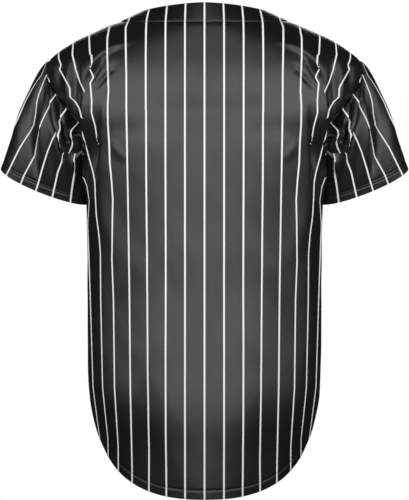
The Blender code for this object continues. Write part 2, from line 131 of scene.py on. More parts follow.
BODY_RINGS = (
    Ring(-0.790, 0.1460, 0.144, 0.076, 0.044, 1.95),
    Ring(-0.740, 0.1510, 0.148, 0.082, 0.038, 1.95),
    Ring(-0.677, 0.1590, 0.149, 0.091, 0.030, 1.92),
    Ring(-0.631, 0.1715, 0.146, 0.101, 0.021, 1.92),
    Ring(-0.597, 0.1778, 0.139, 0.107, 0.014, 1.92),
    Ring(-0.540, 0.1805, 0.127, 0.113, 0.006, 1.90),
    Ring(-0.445, 0.1812, 0.118, 0.116, 0.001, 1.90),
    Ring(-0.370, 0.1816, 0.118, 0.117, 0.000, 1.95),
    Ring(-0.330, 0.1820, 0.118, 0.117, 0.000, 2.05),
    Ring(-0.290, 0.1834, 0.119, 0.117, 0.000, 2.18),
    Ring(-0.250, 0.1860, 0.120, 0.117, 0.000, 2.34),
    Ring(-0.208, 0.1875, 0.121, 0.117, 0.000, 2.52),
    Ring(-0.185, 0.2040, 0.121, 0.116, 0.000, 2.34),
    Ring(-0.160, 0.2230, 0.121, 0.112, 0.000, 2.25),
    Ring(-0.130, 0.2390, 0.118, 0.106, 0.000, 2.20),
    Ring(-0.100, 0.2450, 0.116, 0.098, 0.000, 2.15),
    Ring(-0.077, 0.2405, 0.113, 0.090, 0.000, 2.10),
    Ring(-0.059, 0.2200, 0.109, 0.084, 0.000, 2.00),
    Ring(-0.043, 0.1940, 0.104, 0.077, 0.000, 1.90),
    Ring(-0.028, 0.1610, 0.098, 0.071, 0.000, 1.82),
    Ring(-0.0145, 0.1300, 0.091, 0.066, 0.000, 1.75),
    Ring(0.000, 0.0960, 0.083, 0.061, 0.000, 1.75),
)

# Folds of both halves of the back, as seen from behind. Each has a width towards the middle and one away from it
BACK_FOLDS = (
    Fold(0.104, -0.048, 0.190, -0.136, 0.0225, 0.0032, 0.0190, 0.0090),
    Fold(0.134, -0.076, 0.170, -0.124, -0.001, 0.0032, 0.0032, -0.0040),
    Fold(0.156, -0.078, 0.174, -0.112, 0.001, 0.0030, 0.0030, -0.0045),
    Fold(0.184, -0.104, 0.1880, -0.226, 0.000, 0.012, 0.0026, 0.0085),
    Fold(0.196, -0.066, 0.190, -0.140, 0.003, 0.005, 0.007, -0.0050),
    Fold(0.2070, -0.066, 0.2060, -0.170, 0.001, 0.0026, 0.009, 0.0065),
    Fold(0.2020, -0.078, 0.2010, -0.168, 0.000, 0.005, 0.0026, -0.0050),
    Fold(0.224, -0.074, 0.222, -0.120, 0.000, 0.006, 0.006, -0.0030),
    Fold(0.159, -0.144, 0.171, -0.276, 0.001, 0.0040, 0.0045, -0.0060),
    Fold(0.154, -0.140, 0.163, -0.300, 0.000, 0.012, 0.0040, 0.0025),
    Fold(0.144, -0.196, 0.118, -0.236, 0.002, 0.007, 0.007, 0.0016),
    Fold(0.160, -0.250, 0.132, -0.400, 0.006, 0.016, 0.014, 0.0030),
    Fold(0.178, -0.300, 0.172, -0.480, 0.003, 0.010, 0.010, -0.0030),
    Fold(0.112, -0.390, 0.140, -0.600, 0.006, 0.026, 0.026, -0.0036),
    Fold(0.062, -0.420, 0.054, -0.745, 0.004, 0.024, 0.024, 0.0028),
    Fold(0.100, -0.520, 0.092, -0.730, 0.004, 0.020, 0.020, -0.0022),
)

# Folds of both halves of the front, as seen from the front
FRONT_FOLDS = (
    Fold(0.112, -0.085, 0.176, -0.150, 0.012, 0.010, 0.005, 0.0045),
    Fold(0.196, -0.086, 0.190, -0.200, -0.002, 0.008, 0.006, -0.0065),
    Fold(0.172, -0.100, 0.176, -0.220, 0.003, 0.012, 0.006, 0.0055),
    Fold(0.160, -0.160, 0.160, -0.320, 0.003, 0.009, 0.009, -0.0045),
    Fold(0.150, -0.250, 0.112, -0.440, 0.006, 0.018, 0.016, 0.0036),
    Fold(0.174, -0.280, 0.170, -0.480, 0.003, 0.011, 0.011, -0.0036),
    Fold(0.100, -0.400, 0.126, -0.590, 0.006, 0.026, 0.026, -0.0038),
    Fold(0.062, -0.430, 0.064, -0.700, 0.004, 0.022, 0.022, 0.0030),
    Fold(0.052, -0.190, 0.074, -0.330, 0.004, 0.022, 0.022, -0.0024),
)

# Folds of both sleeves, as seen from behind and from the front
SLEEVE_BACK_FOLDS = (
    Fold(0.2400, -0.076, 0.2580, -0.262, 0.014, 0.0075, 0.0040, -0.0160),
    Fold(0.2750, -0.100, 0.2850, -0.262, 0.004, 0.012, 0.012, 0.0040),
    Fold(0.2460, -0.110, 0.2500, -0.270, 0.002, 0.010, 0.005, 0.0060),
    Fold(0.2460, -0.108, 0.2120, -0.250, 0.002, 0.0042, 0.0030, -0.0100),
    Fold(0.2400, -0.108, 0.2060, -0.252, 0.003, 0.0030, 0.0036, 0.0100),
    Fold(0.2330, -0.112, 0.2060, -0.230, 0.002, 0.0042, 0.0030, -0.0130),
    Fold(0.2250, -0.120, 0.2000, -0.236, 0.002, 0.0030, 0.0036, 0.0100),
    Fold(0.2170, -0.130, 0.1960, -0.206, 0.001, 0.0034, 0.0030, -0.0100),
    Fold(0.2320, -0.196, 0.2340, -0.262, 0.002, 0.005, 0.005, -0.0024),
    Fold(0.2160, -0.214, 0.2150, -0.268, 0.002, 0.005, 0.005, -0.0022),
    Fold(0.2040, -0.150, 0.1900, -0.290, 0.000, 0.0120, 0.0060, -0.0200),
    Fold(0.2140, -0.172, 0.1830, -0.184, 0.001, 0.0040, 0.0040, -0.0140),
    Fold(0.2140, -0.184, 0.1830, -0.200, -0.003, 0.0024, 0.0024, 0.0100),
    Fold(0.2140, -0.196, 0.1830, -0.206, 0.002, 0.0026, 0.0026, -0.0080),
    Fold(0.2120, -0.206, 0.1830, -0.232, 0.004, 0.0060, 0.0080, -0.0100),
)
SLEEVE_FRONT_FOLDS = (
    Fold(0.250, -0.096, 0.258, -0.252, 0.006, 0.007, 0.007, -0.0060),
    Fold(0.234, -0.120, 0.238, -0.256, 0.003, 0.009, 0.006, 0.0046),
    Fold(0.226, -0.130, 0.206, -0.240, -0.004, 0.005, 0.005, -0.0050),
    Fold(0.216, -0.140, 0.198, -0.220, -0.003, 0.004, 0.004, 0.0038),
    Fold(0.272, -0.130, 0.280, -0.250, 0.002, 0.010, 0.010, 0.0030),
)

# Where threads that run down the cloth lie, seen square on, by their distance round it from the middle of the
# body or the outer end of the cuff. The back has one set above its armpit folds, one below and one beside them
UPPER_THREADS = (
    Thread(0.090, ((0.0900, 0.0000), (0.0903, -0.1500), (0.0895, -0.2600))),
    Thread(0.120, ((0.1169, -0.0124), (0.1215, -0.0263), (0.1200, -0.0974), (0.1198, -0.1531), (0.1180, -0.2644))),
    Thread(
        0.150,
        (
            (0.1463, -0.0232), (0.1495, -0.0433), (0.1492, -0.0720), (0.1472, -0.1251), (0.1487, -0.1469),
            (0.1483, -0.1758), (0.1464, -0.2024), (0.1453, -0.2350), (0.1425, -0.2642),
        ),
    ),
    Thread(
        0.180,
        (
            (0.1778, -0.0433), (0.1762, -0.0632), (0.1732, -0.0830), (0.1767, -0.0897), (0.1701, -0.1034),
            (0.1756, -0.1118), (0.1732, -0.1382), (0.1736, -0.1582), (0.1679, -0.1778), (0.1650, -0.1979),
            (0.1560, -0.2270), (0.1500, -0.2560),
        ),
    ),
    Thread(
        0.210,
        (
            (0.2028, -0.0499), (0.2036, -0.0676), (0.1985, -0.1000), (0.1960, -0.1400), (0.1920, -0.1750),
            (0.1855, -0.1979), (0.1778, -0.2266), (0.1711, -0.2505), (0.1690, -0.2642),
        ),
    ),
    Thread(0.240, ((0.2253, -0.0638), (0.2230, -0.1000), (0.2150, -0.1600), (0.2050, -0.2100), (0.1920, -0.2560))),
)
LOWER_THREADS = (
    Thread(0.090, ((0.0895, -0.2600), (0.0885, -0.3834), (0.0875, -0.4452), (0.0862, -0.7500))),
    Thread(
        0.120,
        ((0.1198, -0.1531), (0.1180, -0.2644), (0.1160, -0.3834), (0.1152, -0.4452), (0.1140, -0.5800), (0.1115, -0.7000)),
    ),
    Thread(
        0.150,
        (
            (0.1487, -0.1469), (0.1483, -0.1758), (0.1464, -0.2024), (0.1453, -0.2350), (0.1425, -0.2642),
            (0.1407, -0.2922), (0.1415, -0.3216), (0.1425, -0.3834), (0.1401, -0.4452), (0.1385, -0.5800),
            (0.1330, -0.6700),
        ),
    ),
    Thread(
        0.180,
        (
            (0.1736, -0.1582), (0.1770, -0.2000), (0.1740, -0.2350), (0.1690, -0.2642), (0.1685, -0.2860),
            (0.1668, -0.3149), (0.1623, -0.3478), (0.1602, -0.3741), (0.1599, -0.4452), (0.1570, -0.5800),
            (0.1490, -0.6600),
        ),
    ),
    Thread(
        0.210,
        (
            (0.2180, -0.1582), (0.2150, -0.2350), (0.1862, -0.2575), (0.1812, -0.2706), (0.1778, -0.2922),
            (0.1793, -0.3138), (0.1805, -0.3293), (0.1790, -0.3679), (0.1762, -0.4452), (0.1720, -0.5800),
            (0.1620, -0.6600),
        ),
    ),
)
BESIDE_THREADS = (
    Thread(0.180, ((0.1750, -0.0500), (0.1720, -0.0918), (0.1640, -0.1251), (0.1560, -0.1515))),
    Thread(0.210, ((0.2028, -0.0499), (0.2036, -0.0676), (0.1977, -0.0918), (0.1911, -0.1118), (0.1844, -0.1251), (0.1760, -0.1600))),
    Thread(
        0.240,
        (
            (0.2253, -0.0638), (0.2245, -0.0742), (0.2209, -0.0835), (0.2231, -0.0906), (0.2149, -0.1051),
            (0.2067, -0.1189), (0.2064, -0.1334), (0.1977, -0.1411), (0.1917, -0.1515), (0.1883, -0.1660),
            (0.1740, -0.1690),
        ),
    ),
    Thread(
        0.270,
        ((0.2470, -0.0850), (0.2440, -0.1000), (0.2395, -0.1080), (0.2430, -0.1160), (0.2340, -0.1400), (0.2210, -0.1650)),
    ),
)
OUTER_SLEEVE_THREADS = (
    Thread(0.135, ((0.1864, -0.1871), (0.1926, -0.2010), (0.1988, -0.2164), (0.2013, -0.2288), (0.2004, -0.2409), (0.2078, -0.2933))),
    Thread(0.105, ((0.1980, -0.1700), (0.2085, -0.1950), (0.2192, -0.2237), (0.2202, -0.2322), (0.2262, -0.2477), (0.2356, -0.2872))),
    Thread(
        0.075,
        (
            (0.2132, -0.1515), (0.2202, -0.1619), (0.2250, -0.1732), (0.2299, -0.1892), (0.2356, -0.2013),
            (0.2424, -0.2167), (0.2477, -0.2339), (0.2528, -0.2529), (0.2605, -0.2767),
        ),
    ),
    Thread(
        0.045,
        (
            (0.2205, -0.1144), (0.2283, -0.1279), (0.2356, -0.1377), (0.2416, -0.1515), (0.2501, -0.1687),
            (0.2562, -0.1858), (0.2596, -0.2047), (0.2622, -0.2220), (0.2699, -0.2375), (0.2786, -0.2529),
            (0.2837, -0.2658),
        ),
    ),
    Thread(
        0.015,
        (
            (0.2406, -0.0835), (0.2433, -0.0983), (0.2501, -0.1119), (0.2562, -0.1274), (0.2596, -0.1411),
            (0.2610, -0.1592), (0.2639, -0.1756), (0.2699, -0.1875), (0.2854, -0.2116), (0.3060, -0.2529),
        ),
    ),
    Thread(-0.015, ((0.2440, -0.0800), (0.2518, -0.0990), (0.2579, -0.1075), (0.2665, -0.1213), (0.2767, -0.1401), (0.2875, -0.1653), (0.3330, -0.2529))),
)
INNER_SLEEVE_THREADS = (
    Thread(0.135, ((0.1760, -0.1750), (0.1760, -0.2300))),
    Thread(0.105, ((0.1917, -0.1700), (0.1977, -0.1756), (0.2064, -0.1851), (0.2072, -0.1910), (0.2038, -0.2013), (0.2060, -0.2117), (0.2140, -0.2250))),
    Thread(0.075, ((0.2132, -0.1515), (0.2202, -0.1619), (0.2245, -0.1705), (0.2226, -0.1815), (0.2252, -0.1911), (0.2245, -0.2013), (0.2200, -0.2200))),
    Thread(0.045, ((0.2205, -0.1144), (0.2283, -0.1279), (0.2356, -0.1377), (0.2416, -0.1515), (0.2501, -0.1687), (0.2562, -0.1858))),
)

# Lines across which the pattern jumps, where cloth is tucked out of sight
BESIDE_LINE = ((0.1500, -0.0690), (0.1725, -0.0804), (0.1812, -0.1060), (0.1850, -0.1300), (0.1890, -0.2100))
TROUGH_LINE = ((0.1602, -0.1561), (0.1617, -0.1623), (0.1653, -0.2025), (0.1690, -0.2421), (0.1694, -0.2566))
SLEEVE_LINE = ((0.2390, -0.1400), (0.2330, -0.1700), (0.2265, -0.1980), (0.2200, -0.2150), (0.2185, -0.2190))


class JerseySizes(bpy.types.PropertyGroup):
    """Sizes of the cloth, its pattern and its sewing."""

    wall: bpy.props.FloatProperty(
        name="Cloth", description="Thickness of the knit", default=0.0011, unit="LENGTH"
    )
    grain: bpy.props.FloatProperty(
        name="Grid", description="Distance between neighbouring points of the cloth", default=0.0036, unit="LENGTH"
    )
    stripe_pitch: bpy.props.FloatProperty(
        name="Stripe pitch", description="Distance between two pinstripes", default=0.030, unit="LENGTH"
    )
    stripe_width: bpy.props.FloatProperty(
        name="Stripe width", description="Width of one pinstripe", default=0.0027, unit="LENGTH"
    )
    hem_depth: bpy.props.FloatProperty(
        name="Hem", description="Depth of the body's hem", default=0.0145, unit="LENGTH"
    )
    sleeve_hem_depth: bpy.props.FloatProperty(
        name="Sleeve hem", description="Depth of the sleeve hems", default=0.0107, unit="LENGTH"
    )
    stitch_length: bpy.props.FloatProperty(
        name="Stitch", description="Length of one stitch", default=0.0026, unit="LENGTH"
    )
    thread: bpy.props.FloatProperty(
        name="Thread", description="Thickness of the sewing thread", default=0.0005, unit="LENGTH"
    )


class JerseyColours(bpy.types.PropertyGroup):
    """Colours of the cloth and its trim."""

    cloth: bpy.props.FloatVectorProperty(
        name="Cloth", description="Colour of the knit", subtype="COLOR", size=4, default=(0.0045, 0.0045, 0.0046, 1.0)
    )
    stripe: bpy.props.FloatVectorProperty(
        name="Stripe", description="Colour of the pinstripes", subtype="COLOR", size=4, default=(0.76, 0.76, 0.75, 1.0)
    )
    thread: bpy.props.FloatVectorProperty(
        name="Thread", description="Colour of the sewing", subtype="COLOR", size=4, default=(0.005, 0.005, 0.005, 1.0)
    )
    button: bpy.props.FloatVectorProperty(
        name="Button", description="Colour of the buttons", subtype="COLOR", size=4, default=(0.020, 0.020, 0.021, 1.0)
    )


class JerseyStudio(bpy.types.PropertyGroup):
    """The camera's place and the lights."""

    distance: bpy.props.FloatProperty(
        name="Distance", description="From the camera to the origin", default=12.0, unit="LENGTH"
    )
    camera_height: bpy.props.FloatProperty(
        name="Height", description="The camera's height", default=-0.3685, unit="LENGTH"
    )
    light_height: bpy.props.FloatProperty(
        name="Light height", description="Height of the lights behind the camera", default=0.04, unit="LENGTH"
    )
    floor_height: bpy.props.FloatProperty(
        name="Floor", description="Height of the floor below the jersey", default=-1.70, unit="LENGTH"
    )
    backdrop: bpy.props.FloatProperty(name="Backdrop", description="Brightness of the backdrop", default=1.0)
    fill: bpy.props.FloatProperty(name="Fill", description="Light from all round", default=0.02)


def blended(start, end, share):
    return start + (end - start) * share


def smooth(low, high, value):
    """0 to 1 as a value goes from low to high, level at both ends."""
    share = np.clip((value - low) / (high - low), 0.0, 1.0)
    return share * share * (3 - 2 * share)


def hermite(start, end, start_pull, end_pull, share):
    return (
        start * (1 - 3 * share**2 + 2 * share**3)
        + end * (3 * share**2 - 2 * share**3)
        + start_pull * (share - 2 * share**2 + share**3)
        + end_pull * (share**3 - share**2)
    )


def rings_at(height):
    """The columns of the ring table at an array of heights, on smooth curves through its rows."""
    rows = np.array(BODY_RINGS)
    keys = rows[:, 0]
    height = np.clip(height, keys[0], keys[-1])
    low = np.clip(np.searchsorted(keys, height, side="right") - 1, 0, len(keys) - 2)
    before, after = np.maximum(low - 1, 0), np.minimum(low + 2, len(keys) - 1)
    span = keys[low + 1] - keys[low]
    share = (height - keys[low]) / span
    columns = []
    for column in range(1, rows.shape[1]):
        values = rows[:, column]
        start_slope = (values[low + 1] - values[before]) / (keys[low + 1] - keys[before])
        end_slope = (values[after] - values[low]) / (keys[after] - keys[low])
        columns.append(hermite(values[low], values[low + 1], start_slope * span, end_slope * span, share))
    return columns


def quarter(height, front):
    """Points round a quarter of the ring at each height, with the length of cloth up to each."""
    half_width, back, ahead, forward, squareness = (column[..., None] for column in rings_at(height))
    turn = np.linspace(0.0, math.pi / 2, RING_STEPS)
    depth = np.where(np.asarray(front)[..., None], ahead - forward, -back)
    x = half_width * np.sin(turn) ** (2 / squareness)
    y = forward + depth * np.maximum(np.cos(turn), 0.0) ** (2 / squareness)
    steps = np.hypot(np.diff(x, axis=-1), np.diff(y, axis=-1))
    lengths = np.concatenate([np.zeros_like(steps[..., :1]), np.cumsum(steps, axis=-1)], axis=-1)
    return x, y, lengths


def pick(keys, results, value):
    """For each row, the results at a value on straight lines through rising keys."""
    low = np.clip((keys <= value[..., None]).sum(axis=-1) - 1, 0, keys.shape[-1] - 2)[..., None]
    start, end = np.take_along_axis(keys, low, -1), np.take_along_axis(keys, low + 1, -1)
    share = np.clip((value[..., None] - start) / np.maximum(end - start, 1e-12), 0.0, 1.0)
    found = blended(np.take_along_axis(results, low, -1), np.take_along_axis(results, low + 1, -1), share)
    return found[..., 0]


def smooth_body(share, height, front):
    """Points of the body without folds. Share goes from 0 at its middle to 1 or -1 at a side seam."""
    share, height = np.broadcast_arrays(np.asarray(share, float), np.asarray(height, float))
    x, y, lengths = quarter(height, np.broadcast_to(front, height.shape))
    at = np.minimum(np.abs(share), 1.0) * lengths[..., -1]
    return np.stack([np.sign(share) * pick(lengths, x, at), pick(lengths, y, at), height], axis=-1)


def share_at(x, height, front):
    """The share at which the body has this distance from its middle."""
    x, height = np.broadcast_arrays(np.asarray(x, float), np.asarray(height, float))
    across, _, lengths = quarter(height, np.broadcast_to(front, height.shape))
    return np.sign(x) * pick(across, lengths, np.abs(x)) / lengths[..., -1]


def unit(vectors):
    return vectors / np.maximum(np.linalg.norm(vectors, axis=-1, keepdims=True), 1e-12)


def body_normals(share, height, front):
    """Outward normals of the body without folds."""
    low, high = np.clip(share - 0.006, -1.0, 1.0), np.clip(share + 0.006, -1.0, 1.0)
    across = smooth_body(high, height, front) - smooth_body(low, height, front)
    up = smooth_body(share, height + 0.003, front) - smooth_body(share, height - 0.003, front)
    facing = np.where(np.asarray(front), -1.0, 1.0)[..., None]
    return unit(np.cross(across, up)) * facing


def fold_lift(folds, x, z):
    """How far a table of folds lifts the cloth at places seen square on, the same on both halves."""
    lift = np.zeros_like(x)
    for fold in folds:
        along_x, along_z = fold.end_x - fold.start_x, fold.end_z - fold.start_z
        length = math.hypot(along_x, along_z)
        from_x, from_z = np.abs(x) - fold.start_x, z - fold.start_z
        share = (from_x * along_x + from_z * along_z) / length**2
        inside = np.clip(share, 0.0, 1.0)
        aside = (from_z * along_x - from_x * along_z) / length - fold.bow * 4 * inside * (1 - inside)
        width = np.where(aside < 0, fold.inner_width, fold.outer_width)
        lift += fold.lift * np.sin(math.pi * inside) ** 1.4 * np.exp(-((aside / width) ** 2))
    return lift


def ripple(x, z):
    """The fine unevenness of knit that hangs free."""
    return 0.00035 * (
        np.sin(x * 61 + np.sin(z * 17) * 2.1) * np.sin(z * 23 + 1.3)
        + 0.7 * np.sin(x * 113 + z * 31 + 0.7) * np.sin(z * 57 + x * 19)
    )


def body(share, height, front, lift=0.0):
    """Points of the body's cloth with its folds, moved outward by lift."""
    normal = body_normals(share, height, front)
    points = smooth_body(share, height, front)
    x, z = points[..., 0], points[..., 2]
    rise = np.where(front, fold_lift(FRONT_FOLDS, x, z), fold_lift(BACK_FOLDS, x, z))
    square_on = smooth(0.0, 0.5, np.abs(normal[..., 1]))
    return points + normal * (rise * square_on + ripple(x, z) + lift)[..., None]


def armhole_share(height, front):
    """How far round the body reaches at a height: to the side seam, the armhole or the shoulder seam."""
    rise = (height - ARMHOLE_MIDDLE) / ARMHOLE_HALF
    skew = np.where(front, 1.0, ARMHOLE_FULLNESS - ARMHOLE_SLANT * rise)
    reach = np.where(front, ARMHOLE_FRONT_SHARE, ARMHOLE_BACK_SHARE) * skew
    return 1.0 - reach * np.sqrt(np.clip(1 - rise**2, 0.0, 1.0))


def hem_height(share, front):
    tail = FRONT_TAIL if front else BACK_TAIL
    return tail + (SIDE_HEM - tail) * np.abs(share) ** TAIL_CURVE


def cloth_length(height, front):
    return quarter(np.asarray(height, float), np.broadcast_to(front, np.shape(height)))[2][..., -1]


def path_at(path, z):
    """x of a path at heights z. Its points run downward."""
    return np.interp(-z, [-point[1] for point in path], [point[0] for point in path])


def thread_distance(threads, x, z):
    """Distance round the cloth at places seen square on, between threads listed from small x to large."""
    places = [path_at(thread.path, z) for thread in threads]
    found = None
    for i in range(len(threads) - 1):
        step = (threads[i + 1].distance - threads[i].distance) / (places[i + 1] - places[i])
        value = threads[i].distance + (x - places[i]) * step
        found = value if found is None else np.where(x > places[i], value, found)
    return found


def across_cloth(points, middle_column):
    """The distance along the cloth from one column of a grid, level with the floor.

    Over the shoulders the pattern lies flat and its stripes stay parallel, so depth counts for less there."""
    step = np.diff(points, axis=1)
    height = (points[:, 1:, 2] + points[:, :-1, 2]) / 2
    depth_counts = blended(1.0, 0.12, smooth(-0.19, -0.09, height))
    length = np.sqrt(step[..., 0] ** 2 + depth_counts * step[..., 1] ** 2)
    total = np.concatenate([np.zeros_like(length[:, :1]), np.cumsum(length, axis=1)], axis=1)
    return total - total[:, middle_column][:, None]


def followed(threaded, plain, square_on, start):
    """Distance round the cloth along each row of a grid, counted from one column.

    It is as the threads lie where the cloth is seen square on, and grows with the cloth where it turns away."""
    share = (square_on[:, 1:] + square_on[:, :-1]) / 2
    step = blended(np.diff(plain, axis=1), np.diff(threaded, axis=1), share)
    total = np.concatenate([np.zeros_like(step[:, :1]), np.cumsum(step, axis=1)], axis=1)
    return total - total[:, start : start + 1] + threaded[:, start : start + 1]


def spread(low, high, count):
    return np.linspace(low, high, count + 1)


def steps_for(length, finer=1.0):
    return max(int(round(length * finer / bpy.context.scene.jersey_sizes.grain)), 4)


def cloth_piece(name, points, across, up, material, around=False, wall=None, region=None):
    """A sheet of cloth from a grid of points, with its place in the flat cut as its UV map.

    Across may hold several maps, and region then says which of them each face of the grid reads."""
    across = np.array(across).reshape(-1, *points.shape[:2])
    rows, columns = points.shape[:2]
    mesh = bmesh.new()
    bmesh.ops.create_grid(mesh, x_segments=columns - 1, y_segments=rows - 1, size=1.0)
    place = {}
    for vertex in mesh.verts:
        column = round((vertex.co.x + 1) / 2 * (columns - 1))
        row = round((vertex.co.y + 1) / 2 * (rows - 1))
        place[vertex.index] = (row, column)
        vertex.co = points[row, column]
    layer = mesh.loops.layers.uv.new("cut")
    for face in mesh.faces:
        corners = [place[loop.vert.index] for loop in face.loops]
        row, column = map(min, zip(*corners))
        chosen = across[0 if region is None else region[row, column]]
        for loop, corner in zip(face.loops, corners):
            loop[layer].uv = (chosen[corner], up[corner])
    if around:
        bmesh.ops.remove_doubles(mesh, verts=mesh.verts, dist=1e-6)
    return finished(name, mesh, material, bpy.context.scene.jersey_sizes.wall if wall is None else wall)


def finished(name, mesh, material, wall=0.0):
    """A smooth-shaded object from a mesh. It rides on the jersey and shows one material."""
    data = bpy.data.meshes.new(name)
    mesh.to_mesh(data)
    mesh.free()
    data.shade_smooth()
    data.materials.append(material)
    piece = bpy.data.objects.new(name, data)
    bpy.context.scene.collection.objects.link(piece)
    if wall:
        solid = piece.modifiers.new("wall", "SOLIDIFY")
        solid.thickness = wall
        solid.offset = -1.0
        solid.use_quality_normals = True
    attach(piece, "root")
    return piece


def sewn_edge(distance, depth=0.0010, width=0.0035):
    """How far cloth dips towards a seam or stitching that lies at a distance."""
    return -depth * np.exp(-((distance / width) ** 2))


# Materials


def shader_group(name, inputs, outputs):
    """An empty shader node group with named sockets: (name, kind, default)."""
    group = bpy.data.node_groups.new(name, "ShaderNodeTree")
    for label, kind, default in inputs:
        socket = group.interface.new_socket(label, in_out="INPUT", socket_type=kind)
        if default is not None:
            socket.default_value = default
    for label, kind in outputs:
        group.interface.new_socket(label, in_out="OUTPUT", socket_type=kind)
    entry, leave = group.nodes.new("NodeGroupInput"), group.nodes.new("NodeGroupOutput")
    return group, entry, leave


def maths(tree, operation, first, second=None, third=None):
    """A Math node whose inputs are sockets or numbers, and its result."""
    node = tree.nodes.new("ShaderNodeMath")
    node.operation = operation
    for i, value in enumerate((first, second, third)):
        if isinstance(value, (int, float)):
            node.inputs[i].default_value = value
        elif value is not None:
            tree.links.new(value, node.inputs[i])
    return node.outputs[0]


def pinstripe_group():
    """Mask of the pinstripes: 1 on a stripe, with the slight unevenness of printed knit at its edges."""
    group, entry, leave = shader_group(
        "pinstripes",
        [
            ("Pitch", "NodeSocketFloat", 0.03),
            ("Width", "NodeSocketFloat", 0.0034),
            ("Offset", "NodeSocketFloat", 0.0),
            ("Softness", "NodeSocketFloat", 0.0005),
        ],
        [("Mask", "NodeSocketFloat")],
    )
    uv = group.nodes.new("ShaderNodeUVMap")
    uv.uv_map = "cut"
    parts = group.nodes.new("ShaderNodeSeparateXYZ")
    group.links.new(uv.outputs["UV"], parts.inputs[0])
    noise = group.nodes.new("ShaderNodeTexNoise")
    noise.inputs["Scale"].default_value = 900.0
    noise.inputs["Detail"].default_value = 1.0
    group.links.new(uv.outputs["UV"], noise.inputs["Vector"])
    uneven = maths(group, "MULTIPLY", maths(group, "SUBTRACT", noise.outputs["Fac"], 0.5), 0.0007)
    across = maths(group, "ADD", maths(group, "SUBTRACT", parts.outputs["X"], entry.outputs["Offset"]), uneven)
    turns = maths(group, "DIVIDE", across, entry.outputs["Pitch"])
    nearest = maths(group, "MULTIPLY", maths(group, "ROUND", turns), entry.outputs["Pitch"])
    distance = maths(group, "ABSOLUTE", maths(group, "SUBTRACT", across, nearest))
    edge = maths(group, "SUBTRACT", maths(group, "MULTIPLY", entry.outputs["Width"], 0.5), distance)
    sharp = maths(group, "DIVIDE", edge, entry.outputs["Softness"])
    mask = maths(group, "ADD", sharp, 0.5)
    clamp = group.nodes.new("ShaderNodeClamp")
    group.links.new(mask, clamp.inputs["Value"])
    group.links.new(clamp.outputs[0], leave.inputs["Mask"])
    return group


def knit_group():
    """Height of a fine interlock knit: ribs along the cut, with loops across them."""
    group, entry, leave = shader_group(
        "interlock_knit",
        [("Ribs", "NodeSocketFloat", 1400.0), ("Loops", "NodeSocketFloat", 1100.0)],
        [("Height", "NodeSocketFloat"), ("Tone", "NodeSocketFloat")],
    )
    uv = group.nodes.new("ShaderNodeUVMap")
    uv.uv_map = "cut"
    parts = group.nodes.new("ShaderNodeSeparateXYZ")
    group.links.new(uv.outputs["UV"], parts.inputs[0])
    ribs = maths(group, "MULTIPLY", parts.outputs["X"], maths(group, "MULTIPLY", entry.outputs["Ribs"], math.tau))
    loops = maths(group, "MULTIPLY", parts.outputs["Y"], maths(group, "MULTIPLY", entry.outputs["Loops"], math.tau))
    rib_wave = maths(group, "ABSOLUTE", maths(group, "SINE", maths(group, "MULTIPLY", ribs, 0.5)))
    loop_wave = maths(group, "SINE", maths(group, "ADD", loops, maths(group, "MULTIPLY", ribs, 0.5)))
    height = maths(group, "ADD", rib_wave, maths(group, "MULTIPLY", loop_wave, 0.25))
    group.links.new(height, leave.inputs["Height"])
    mottle = group.nodes.new("ShaderNodeTexNoise")
    mottle.inputs["Scale"].default_value = 26.0
    mottle.inputs["Detail"].default_value = 4.0
    group.links.new(uv.outputs["UV"], mottle.inputs["Vector"])
    group.links.new(mottle.outputs["Fac"], leave.inputs["Tone"])
    return group


def knit_material(name, offset=0.0, pitch_scale=1.0):
    """Satin knit with pinstripes along the cut. Offset moves the stripes across it."""
    sizes, colours = bpy.context.scene.jersey_sizes, bpy.context.scene.jersey_colours
    material = bpy.data.materials.new(name)
    material.use_nodes = True
    tree = material.node_tree
    shader = tree.nodes["Principled BSDF"]
    stripes = tree.nodes.new("ShaderNodeGroup")
    stripes.node_tree = bpy.data.node_groups.get("pinstripes") or pinstripe_group()
    stripes.inputs["Pitch"].default_value = sizes.stripe_pitch * pitch_scale
    stripes.inputs["Width"].default_value = sizes.stripe_width
    stripes.inputs["Offset"].default_value = offset
    knit = tree.nodes.new("ShaderNodeGroup")
    knit.node_tree = bpy.data.node_groups.get("interlock_knit") or knit_group()
    tone = tree.nodes.new("ShaderNodeMapRange")
    tone.inputs["From Min"].default_value = 0.3
    tone.inputs["From Max"].default_value = 0.7
    tone.inputs["To Min"].default_value = 0.85
    tone.inputs["To Max"].default_value = 1.15
    tree.links.new(knit.outputs["Tone"], tone.inputs["Value"])
    ground = tree.nodes.new("ShaderNodeVectorMath")
    ground.operation = "SCALE"
    ground.inputs[0].default_value = colours.cloth[:3]
    tree.links.new(tone.outputs[0], ground.inputs["Scale"])
    mix = tree.nodes.new("ShaderNodeMix")
    mix.data_type = "RGBA"
    tree.links.new(stripes.outputs["Mask"], mix.inputs["Factor"])
    tree.links.new(ground.outputs[0], mix.inputs["A"])
    mix.inputs["B"].default_value = colours.stripe
    tree.links.new(mix.outputs["Result"], shader.inputs["Base Color"])
    rough = tree.nodes.new("ShaderNodeMapRange")
    rough.inputs["To Min"].default_value = 0.42
    rough.inputs["To Max"].default_value = 0.62
    tree.links.new(stripes.outputs["Mask"], rough.inputs["Value"])
    tree.links.new(rough.outputs[0], shader.inputs["Roughness"])
    bump = tree.nodes.new("ShaderNodeBump")
    bump.inputs["Strength"].default_value = 0.25
    bump.inputs["Distance"].default_value = 0.0002
    tree.links.new(knit.outputs["Height"], bump.inputs["Height"])
    tree.links.new(bump.outputs["Normal"], shader.inputs["Normal"])
    shader.inputs["Specular IOR Level"].default_value = 0.5
    shader.inputs["Diffuse Roughness"].default_value = 1.0
    shader.inputs["Sheen Weight"].default_value = 0.0
    shader.inputs["Sheen Roughness"].default_value = 0.5
    return material


